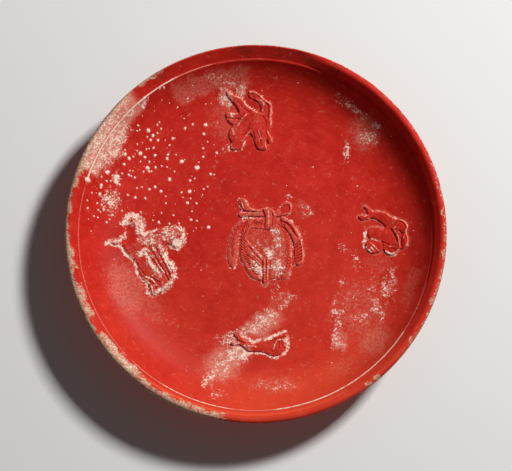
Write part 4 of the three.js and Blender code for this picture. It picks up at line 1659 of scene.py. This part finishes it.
@dataclass
class PlateBody(Ware):
    """The thrown dish: base, outer sweep, rounded lip, straight wall, incised groove and floor.

    Lengths are in millimetres and angles in degrees.
    """

    rim_radius: float = 90.0
    underside: float = 5.5
    floor_top: float = 10.5
    dish_rise: float = 28.3
    dish_power: float = 8.5
    lip_radius: float = 1.9
    wall_lean: float = 48.0
    groove_radius: float = GROOVE_RADIUS
    groove_width: float = 0.9
    groove_depth: float = 0.4
    outer_spread: float = 93.0
    base_radius: float = 47.0
    skin: float = 0.005  # Gap left under the top of the CAD box

    # Rings and facets
    first_ring: float = 4.0
    last_ring: float = 1.0
    base_rings: int = 9
    sweep_rings: int = 26
    sweep_power: float = 0.75
    lip_rings: int = 18
    wall_rings: int = 5
    groove_rings: int = 7
    ring_step: float = 0.74
    segments: int = 540

    # The slope pared along the far side of the lip
    pared_lean: float = 39.7
    pared_edge: Point = (89.2, 29.55)
    pared_heading: float = 101.0
    pared_half: float = 37.0
    pared_fade: float = 13.0

    # Crust on the inside, and chips along the lip
    inside_start: float = 0.4
    inside_fade: float = 1.5
    groove_fill: float = 0.8
    crust_height: float = 0.16
    crust_start: float = 0.35
    lump_size: float = 0.9
    lumpiness: float = 0.7
    worn_drop: float = 3.4
    worn_fade: float = 1.6
    chip_depth: float = 0.35
    chip_start: float = 0.3
    chip_size: float = 1.7
    chip_inward: float = 0.3

    def inside(self, radius: np.ndarray | float) -> np.ndarray | float:
        """Height of the dish's inside at a radius."""
        return self.floor_top + self.dish_rise * (radius / self.rim_radius) ** self.dish_power

    def outside(self, radius: np.ndarray) -> np.ndarray:
        """Height of the dish's outside, flat over the turned base.

        Args:
            radius: Distances from the axis.

        Returns:
            The height at each.
        """
        rise = (radius / self.outer_spread) ** self.dish_power
        rise -= (self.base_radius / self.outer_spread) ** self.dish_power
        return self.underside + self.dish_rise * np.maximum(0.0, rise)

    def profile(self) -> np.ndarray:
        """Section of the dish, from the middle of the base round the lip to the middle of the floor.

        Returns:
            Radius and height of each ring.
        """
        base = np.linspace(self.first_ring, self.base_radius, self.base_rings, endpoint=False)
        part = np.linspace(0.0, 1.0, self.sweep_rings) ** self.sweep_power
        under = np.concatenate([base, self.base_radius + (self.rim_radius - self.base_radius) * part])
        below = np.column_stack([under, self.outside(under)])

        lean = math.radians(self.wall_lean)
        wall_foot = self.groove_radius + self.groove_width / 2
        lip_centre = self.rim_radius - self.lip_radius
        wall_run = lip_centre - self.lip_radius * math.sin(lean) - wall_foot
        lip_height = self.inside(wall_foot) + wall_run * math.tan(lean) - self.lip_radius * math.cos(lean)
        turn = np.linspace(0.0, lean + math.pi / 2, self.lip_rings)
        lip = self.lip_radius * np.column_stack([np.cos(turn), np.sin(turn)]) + [lip_centre, lip_height]
        wall = np.linspace(lip[-1], [wall_foot, self.inside(wall_foot)], self.wall_rings)[1:]

        groove_radii = np.linspace(wall_foot, wall_foot - self.groove_width, self.groove_rings)[1:]
        dip = self.groove_depth * np.sin(np.linspace(0.0, math.pi, self.groove_rings)[1:])
        groove = np.column_stack([groove_radii, self.inside(groove_radii) - dip])
        floor_radii = np.arange(groove_radii[-1] - self.ring_step / 2, self.last_ring, -self.ring_step)
        floor = np.column_stack([floor_radii, self.inside(floor_radii)])
        rings = np.vstack([below, lip, wall, groove, floor])
        rings[:, 1] = np.minimum(rings[:, 1], CAD_BOX[1][2] / MM - self.skin)
        return rings

    def pared(self, points: np.ndarray) -> np.ndarray:
        """Heights with the inside of the lip pared to an even slope along the far side.

        Args:
            points: Vertices of the turned dish.

        Returns:
            The height of each vertex.
        """
        x, y, z = points.T
        places = Places(x, y)
        share = eased((self.pared_half - places.off_heading(self.pared_heading)) / self.pared_fade)
        radius = places.radius
        cut = self.pared_edge[1] + (radius - self.pared_edge[0]) * math.tan(math.radians(self.pared_lean))
        return z - share * np.where(radius > self.groove_radius, np.clip(z - cut, 0.0, None), 0.0)

    def build(self, weathering: Weathering) -> bpy.types.Object:
        """Makes the dish with its chipped lip and the thickness of its crust.

        Args:
            weathering: Where lime, haze and wear lie.

        Returns:
            The piece, marked for its material.
        """
        points, faces = turned(self.profile(), self.segments, on_axis=True)
        points[:, 2] = self.pared(points)
        x, y, z = points.T  # Views, which follow the points as they move
        places = Places(x, y)

        thickness = z - self.outside(places.radius)
        on_inside = np.clip(thickness / self.inside_fade - self.inside_start, 0.0, 1.0)
        filled = np.clip(weathering.in_groove(places), 0.0, 1.0) * on_inside
        points[:, 2] += self.groove_fill * self.groove_depth * filled
        lime = weathering.lime(places) * on_inside
        worn = weathering.bare(places) * np.clip((z - z.max() + self.worn_drop) / self.worn_fade, 0.0, 1.0)

        lumps = 1.0 + self.lumpiness * rough_noise(points, self.lump_size)
        raised = self.crust_height * np.clip(lime - self.crust_start, 0.0, 1.0 - self.crust_start) * lumps
        grit = np.clip(rough_noise(points, self.chip_size), 0.0, None)
        chipped = self.chip_depth * np.clip(worn - self.chip_start, 0.0, None) * grit

        radius = places.radius + TINY
        steepest = self.dish_power * self.dish_rise / self.rim_radius
        slope = steepest * (radius / self.rim_radius) ** (self.dish_power - 1.0)
        lean = np.where(radius > self.groove_radius, 1.0, slope / np.sqrt(1 + slope**2))
        inward = lean * (raised + self.chip_inward * chipped)
        points[:, 0] -= x / radius * inward
        points[:, 1] -= y / radius * inward
        points[:, 2] += np.where(radius < self.groove_radius, raised * np.sqrt(1 - lean**2), -chipped)

        piece = add_mesh("dish_body", points, faces)
        set_marks(piece, {
            Mark.CRUST: lime,
            Mark.WEAR_AND_HIGHLIGHT: worn,
            Mark.HAZE_AND_PAINTED_SHEEN: weathering.veil_and_painted_sheen(places) * on_inside,
            Mark.THIN: weathering.thinned(places),
            Mark.DARKENING: weathering.stained(places) * on_inside,
        })
        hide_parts("plate_body")
        return piece


@dataclass
class FootRing(Ware):
    """The low foot: a coil luted under the base, worn to the clay where it stands.

    Lengths are in millimetres.
    """

    inner: float = 39.5
    outer: float = 43.0
    flare: float = 3.5
    top: float = 5.45
    edge_inset: float = 0.35
    edge_rise: float = 0.3

    # Rings and facets
    flat_rings: int = 6
    curve_rings: int = 7
    segments: int = 360

    # Wear, crust and haze
    worn_height: float = 0.9
    wear: float = 0.9
    cloud: float = 9.0
    crust_start: float = 0.25
    crust: float = 0.6
    haze_shift: float = 0.3
    haze: float = 0.4

    def profile(self) -> np.ndarray:
        """Section of the foot, from the standing edge round the outside to the base and back.

        Returns:
            Radius and height of each ring.
        """
        waist = self.outer + self.flare / 2
        outer_top = (self.outer + self.flare, self.top)
        inner_top = (self.inner - self.flare, self.top)
        part = np.linspace(0.0, 1.0, self.curve_rings)[:, None]

        def bend(start: Point, pull: Point, end: Point) -> np.ndarray:
            """Points of a curve from start to end, drawn towards pull."""
            start, pull, end = (np.array(point) for point in (start, pull, end))
            return (1 - part) ** 2 * start + 2 * part * (1 - part) * pull + part**2 * end

        edge_ends = (self.inner + self.edge_inset, 0.0), (self.outer - self.edge_inset, 0.0)
        edge = np.linspace(*edge_ends, self.flat_rings)
        lower = bend((self.outer, self.edge_rise), (waist, self.top / 4), (waist, self.top / 2))
        upper = bend((waist, self.top / 2), (waist, self.top), outer_top)[1:]
        seat = np.linspace(outer_top, inner_top, self.flat_rings)[1:]
        back = bend(inner_top, (self.inner, self.top), (self.inner, self.edge_rise))[1:]
        return np.vstack([edge, lower, upper, seat, back])

    def build(self) -> bpy.types.Object:
        """Makes the foot ring with a worn standing edge.

        Returns:
            The piece, marked for its material.
        """
        points, faces = turned(self.profile(), self.segments, on_axis=False)
        clouds = rough_noise(points, self.cloud)
        piece = add_mesh("foot_coil", points, faces)
        set_marks(piece, {
            Mark.WEAR_AND_HIGHLIGHT: self.wear * np.clip(1.0 - points[:, 2] / self.worn_height, 0.0, 1.0),
            Mark.CRUST: self.crust * np.clip(clouds - self.crust_start, 0.0, 1.0),
            Mark.HAZE_AND_PAINTED_SHEEN: self.haze * np.clip(clouds + self.haze_shift, 0.0, 1.0),
        })
        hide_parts("foot_ring")
        return piece


@dataclass
class AppliedRelief(Ware):
    """A mould-made relief, luted to the dish's floor. Lengths are in millimetres."""

    design: Design
    grid: float = 0.2
    margin: float = 0.5
    back: float = BURIED - 0.1

    # Unevenness of the pressed clay
    uneven_from: float = 0.4
    hump_size: float = 2.1
    hump_height: float = 0.06
    crumb_size: float = 0.8
    crumb_height: float = 0.05

    # Thickness of the crust
    crust_height: float = 0.15
    crust_start: float = 0.4
    crumbliness: float = 1.2

    def field(self) -> Places:
        """Grid that holds every slab of the design.

        Returns:
            The grid's points, measured from the relief's centre.
        """
        outlines = np.vstack([slab.outline for slab in self.design.slabs]) * DRAWING_UNIT
        low, high = outlines.min(axis=0) - self.margin, outlines.max(axis=0) + self.margin
        sides = (np.arange(low[axis], high[axis], self.grid) for axis in (0, 1))
        return Places(*np.meshgrid(*sides))

    def skin(self, raised: np.ndarray) -> tuple[np.ndarray, Faces]:
        """Faces of a closed skin: a front on the raised part of the grid, a back and the sides between them.

        Args:
            raised: Whether the relief has height at each point of the grid.

        Returns:
            Numbers of the grid points that the front uses, and faces, with the back's points after them.
        """
        cells = raised[:-1, :-1] | raised[1:, :-1] | raised[:-1, 1:] | raised[1:, 1:]
        rows, columns = np.nonzero(cells)
        wide = raised.shape[1]
        corner = rows * wide + columns
        quads = np.column_stack([corner, corner + 1, corner + wide + 1, corner + wide])
        used, packed = np.unique(quads, return_inverse=True)
        quads = packed.reshape(quads.shape)
        count = len(used)

        edges = np.vstack([quads[:, [side, (side + 1) % 4]] for side in range(4)])
        _, first, times = np.unique(np.sort(edges, axis=1), axis=0, return_index=True, return_counts=True)
        rim = edges[first[times == 1]]
        faces = [tuple(quad) for quad in quads.tolist()]
        faces += [tuple(count + number for number in reversed(quad)) for quad in quads.tolist()]
        faces += [(end, start, start + count, end + count) for start, end in rim.tolist()]
        return used, faces

    def build(self, dish: PlateBody, weathering: Weathering) -> bpy.types.Object:
        """Makes the relief as a closed skin that lies on the dish and is sunk a little into it.

        Args:
            dish: The dish that carries it.
            weathering: Where lime and haze lie.

        Returns:
            The piece, marked for its material.
        """
        field = self.field()
        heights = self.design.height(field)
        used, faces = self.skin(heights > BURIED + TINY)
        x, y, height = (values.ravel()[used] for values in (field.x, field.y, heights))
        own = Places(x, y)
        places = Places(x + self.design.centre[0], y + self.design.centre[1])
        floor = dish.inside(places.radius)
        front = np.column_stack([places.x, places.y, floor + height])
        back = np.column_stack([places.x, places.y, floor + self.back])

        lime = weathering.lime(places)
        humps = rough_noise(front, self.hump_size)
        crumbs = rough_noise(front, self.crumb_size)
        uneven = np.clip(height / self.uneven_from, 0.0, 1.0)
        crust = self.crust_height * np.clip(lime - self.crust_start, 0.0, 1.0 - self.crust_start)
        front[:, 2] += uneven * (self.hump_height * humps + self.crumb_height * crumbs)
        front[:, 2] += crust * (1.0 + self.crumbliness * crumbs)

        piece = add_mesh(self.design.name + "_skin", np.vstack([front, back]), faces)
        marks = {
            Mark.CRUST: lime,
            Mark.HAZE_AND_PAINTED_SHEEN: weathering.veil_and_painted_sheen(places),
            # Wear, with a painted highlight where the relief's edge faces the key light
            Mark.WEAR_AND_HIGHLIGHT: self.design.wear_and_highlight(own),
            Mark.THIN: weathering.thinned(places),
        }
        set_marks(piece, {name: np.tile(values, 2) for name, values in marks.items()})
        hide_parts(self.design.name)
        return piece


@dataclass
class LimeSpots(Ware):
    """Drops of lime spattered over the dish's upper left, each a small uneven dome.

    Lengths are in millimetres.
    """

    drops: tuple[Drop, ...] = DROPS

    # Where the small drops fall: most between two corners, and strays elsewhere
    count: int = 60
    low: Point = (-80.0, -8.0)
    high: Point = (-18.0, 72.0)
    strays: int = 50
    stray_reach: float = 78.0
    clear_radius: float = 80.0
    clear_gap: float = 0.8
    least: float = 0.2
    most: float = 0.4

    # The dome of a drop
    sides: int = 12
    levels: tuple[float, ...] = (1.0, 0.82, 0.5)
    bulge: float = 0.2
    core: float = 0.85
    lobe: float = 0.16
    lobe_turn: float = 6.0
    unevenness: float = 0.1
    sink: float = 0.06

    def small_drops(self, dice: np.random.Generator) -> list[Drop]:
        """Fine drops between the larger ones, clear of the lip and the reliefs.

        Args:
            dice: The random generator.

        Returns:
            The drops.
        """
        spots = np.vstack([
            dice.uniform(self.low, self.high, (self.count, 2)),
            dice.uniform(-self.stray_reach, self.stray_reach, (self.strays, 2)),
        ])
        places = Places(*spots.T)
        clear = places.radius < self.clear_radius
        for design in DESIGNS:
            clear &= design.depth(places.about(design.centre)) < -self.clear_gap
        sizes = self.least + (self.most - self.least) * dice.random(len(spots)) ** 2
        return [Drop(*(spot / DRAWING_UNIT), size) for spot, size, ok in zip(spots, sizes, clear) if ok]

    def build(self, dish: PlateBody) -> bpy.types.Object:
        """Makes every drop in one piece.

        Args:
            dish: The dish that carries them.

        Returns:
            The piece.
        """
        dice = np.random.default_rng(SEED)
        rings: list[np.ndarray] = []
        faces: Faces = []
        turn = np.linspace(0.0, 2.0 * math.pi, self.sides, endpoint=False)
        across, up = np.cos(turn), np.sin(turn)
        vertices = len(self.levels) * self.sides + 1
        for number, drop in enumerate((*self.drops, *self.small_drops(dice))):
            phase = dice.uniform(0.0, self.lobe_turn)
            lobes = self.lobe * np.sin(2 * turn + phase) + self.unevenness * dice.standard_normal(self.sides)
            edge = self.core * drop.radius * (1.0 + lobes)
            for level in self.levels:
                ring = Places(drop.centre[0] + level * edge * across, drop.centre[1] + level * edge * up)
                lift = self.bulge * drop.radius * (1.0 - level**2) - self.sink * (level == 1.0)
                rings.append(np.column_stack([ring.x, ring.y, dish.inside(ring.radius) + lift]))
            crown = dish.inside(np.hypot(*drop.centre)) + self.bulge * drop.radius
            rings.append(np.array([[*drop.centre, crown]]))
            faces += self.skin(number * vertices)
        return add_mesh("lime_spots", np.vstack(rings), faces)

    def skin(self, start: int) -> Faces:
        """Faces of one drop.

        Args:
            start: Number of the drop's first vertex.

        Returns:
            Vertex numbers of each face: the sides, the crown and the flat back.
        """
        faces: Faces = []
        inner = start + (len(self.levels) - 1) * self.sides
        for number in range(self.sides):
            after = (number + 1) % self.sides
            for here in range(start, inner, self.sides):
                there = here + self.sides
                faces.append((here + number, here + after, there + after, there + number))
            faces.append((inner + number, inner + after, inner + self.sides))
        faces.append(tuple(start + number for number in reversed(range(self.sides))))
        return faces


# The studio


def stand_off(made: bpy.types.Object, target: Vector, way: Vector, distance: float) -> None:
    """Stands a light or camera away from a point, looking at it.

    Args:
        made: The light or camera.
        target: The point that it looks at, in metres.
        way: Direction from that point to it.
        distance: How far away it stands, in metres.
    """
    made.location = target + way * distance
    made.rotation_mode = "QUATERNION"
    made.rotation_quaternion = way.to_track_quat("Z", "Y")


@dataclass
class Studio:
    """Pale floor, a soft key light from the upper right, a low fill that is brighter below, and the camera.

    Lengths are in metres, angles in degrees and places in the image in pixels.
    """

    # Key light
    key_azimuth: float = 42.0
    key_elevation: float = 47.0
    key_distance: float = 1.4
    key_size: float = 0.2
    key_share: float = 0.935

    # Fill and surroundings
    fill: float = 0.076
    under_fill: float = 0.42
    fill_span: Span = (-0.1, 0.35)
    backdrop: float = 0.62
    floor_size: float = 8.0

    # Camera
    camera_elevation: float = 82.5
    camera_distance: float = 1.2
    image_size: tuple[int, int] = (512, 471)
    rim_pixels: float = 191.1
    centre_pixel: Point = (255.7, 232.4)
    sensor: float = 36.0

    def floor(self) -> bpy.types.Object:
        """Makes the floor, which isn't part of the dish.

        Returns:
            The floor.
        """
        half = self.floor_size / 2
        corners = [(-half, -half, 0), (half, -half, 0), (half, half, 0), (-half, half, 0)]
        mesh = bpy.data.meshes.new("studio_floor")
        mesh.from_pydata(corners, [], [(0, 1, 2, 3)])
        mesh.materials.append(PaleFloor().material("pale_floor"))
        made = put_in_scene("studio_floor", mesh)
        return made

    def lights(self) -> None:
        """Makes the key light and the world's fill, which is low over the dish and brighter under it."""
        azimuth, elevation = math.radians(self.key_azimuth), math.radians(self.key_elevation)
        away = Vector((
            math.cos(elevation) * math.cos(azimuth),
            math.cos(elevation) * math.sin(azimuth),
            math.sin(elevation),
        ))
        lamp = bpy.data.lights.new("key_light", "AREA")
        lamp.size = self.key_size
        lamp.energy = self.key_share * math.pi**2 * self.key_distance**2 / math.sin(elevation)
        stand_off(put_in_scene("key_light", lamp), Vector(), away, self.key_distance)

        world = bpy.data.worlds.new("studio")
        graph = Graph(world)
        seen = graph.shade("ShaderNodeLightPath", {}, {}, output="Is Camera Ray")
        heading = graph.shade("ShaderNodeTexCoord", {}, {}, output="Generated")
        level = graph.shade("ShaderNodeSeparateXYZ", {}, {0: heading}, output="Z")
        fill = self.fill + (0.0 - level).rise(*self.fill_span) * (self.under_fill - self.fill)
        strength = fill + seen * (self.backdrop - fill)
        sky = graph.shade("ShaderNodeBackground", {}, {"Color": (1.0, 1.0, 1.0, 1.0), "Strength": strength})
        graph.add("ShaderNodeOutputWorld", {}, {"Surface": sky})
        bpy.context.scene.world = world

    def camera(self, dish: PlateBody) -> None:
        """Puts the camera where the rim has the photograph's size and place in the image.

        Args:
            dish: The dish that is looked at.
        """
        wide, tall = self.image_size
        focal = self.rim_pixels * self.camera_distance / (dish.rim_radius * MM)
        data = bpy.data.cameras.new("camera")
        data.sensor_width = self.sensor
        data.lens = self.sensor * focal / wide
        data.shift_x = (wide / 2 - self.centre_pixel[0]) / wide
        data.shift_y = (self.centre_pixel[1] - tall / 2) / wide
        elevation = math.radians(self.camera_elevation)
        back = Vector((0.0, -math.cos(elevation), math.sin(elevation)))
        lip_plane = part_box("plate_body")[1].z - dish.lip_radius * MM
        made = put_in_scene("camera", data)
        stand_off(made, Vector((0.0, 0.0, lip_plane)), back, self.camera_distance)
        bpy.context.scene.camera = made


def main() -> None:
    """Builds and dresses the dish, lights it and sets the camera."""
    logging.basicConfig(level=logging.INFO, format="%(name)s: %(message)s")
    bpy.context.scene.view_settings.view_transform = "Standard"

    dish = PlateBody()
    dish.dress(dish.build(WEATHERING), BODY_FINISH.material("body_slip"))
    foot = FootRing()
    foot.dress(foot.build(), FOOT_FINISH.material("foot_slip"))
    relief_slip = RELIEF_FINISH.material("relief_slip")
    for design in DESIGNS:
        relief = AppliedRelief(design)
        relief.dress(relief.build(dish, WEATHERING), relief_slip)
    spots = LimeSpots()
    spots.dress(spots.build(dish), DROP_FINISH.material("lime_crust"))

    studio = Studio()
    studio.floor()
    studio.lights()
    studio.camera(dish)


if __name__ == "__main__":
    main()
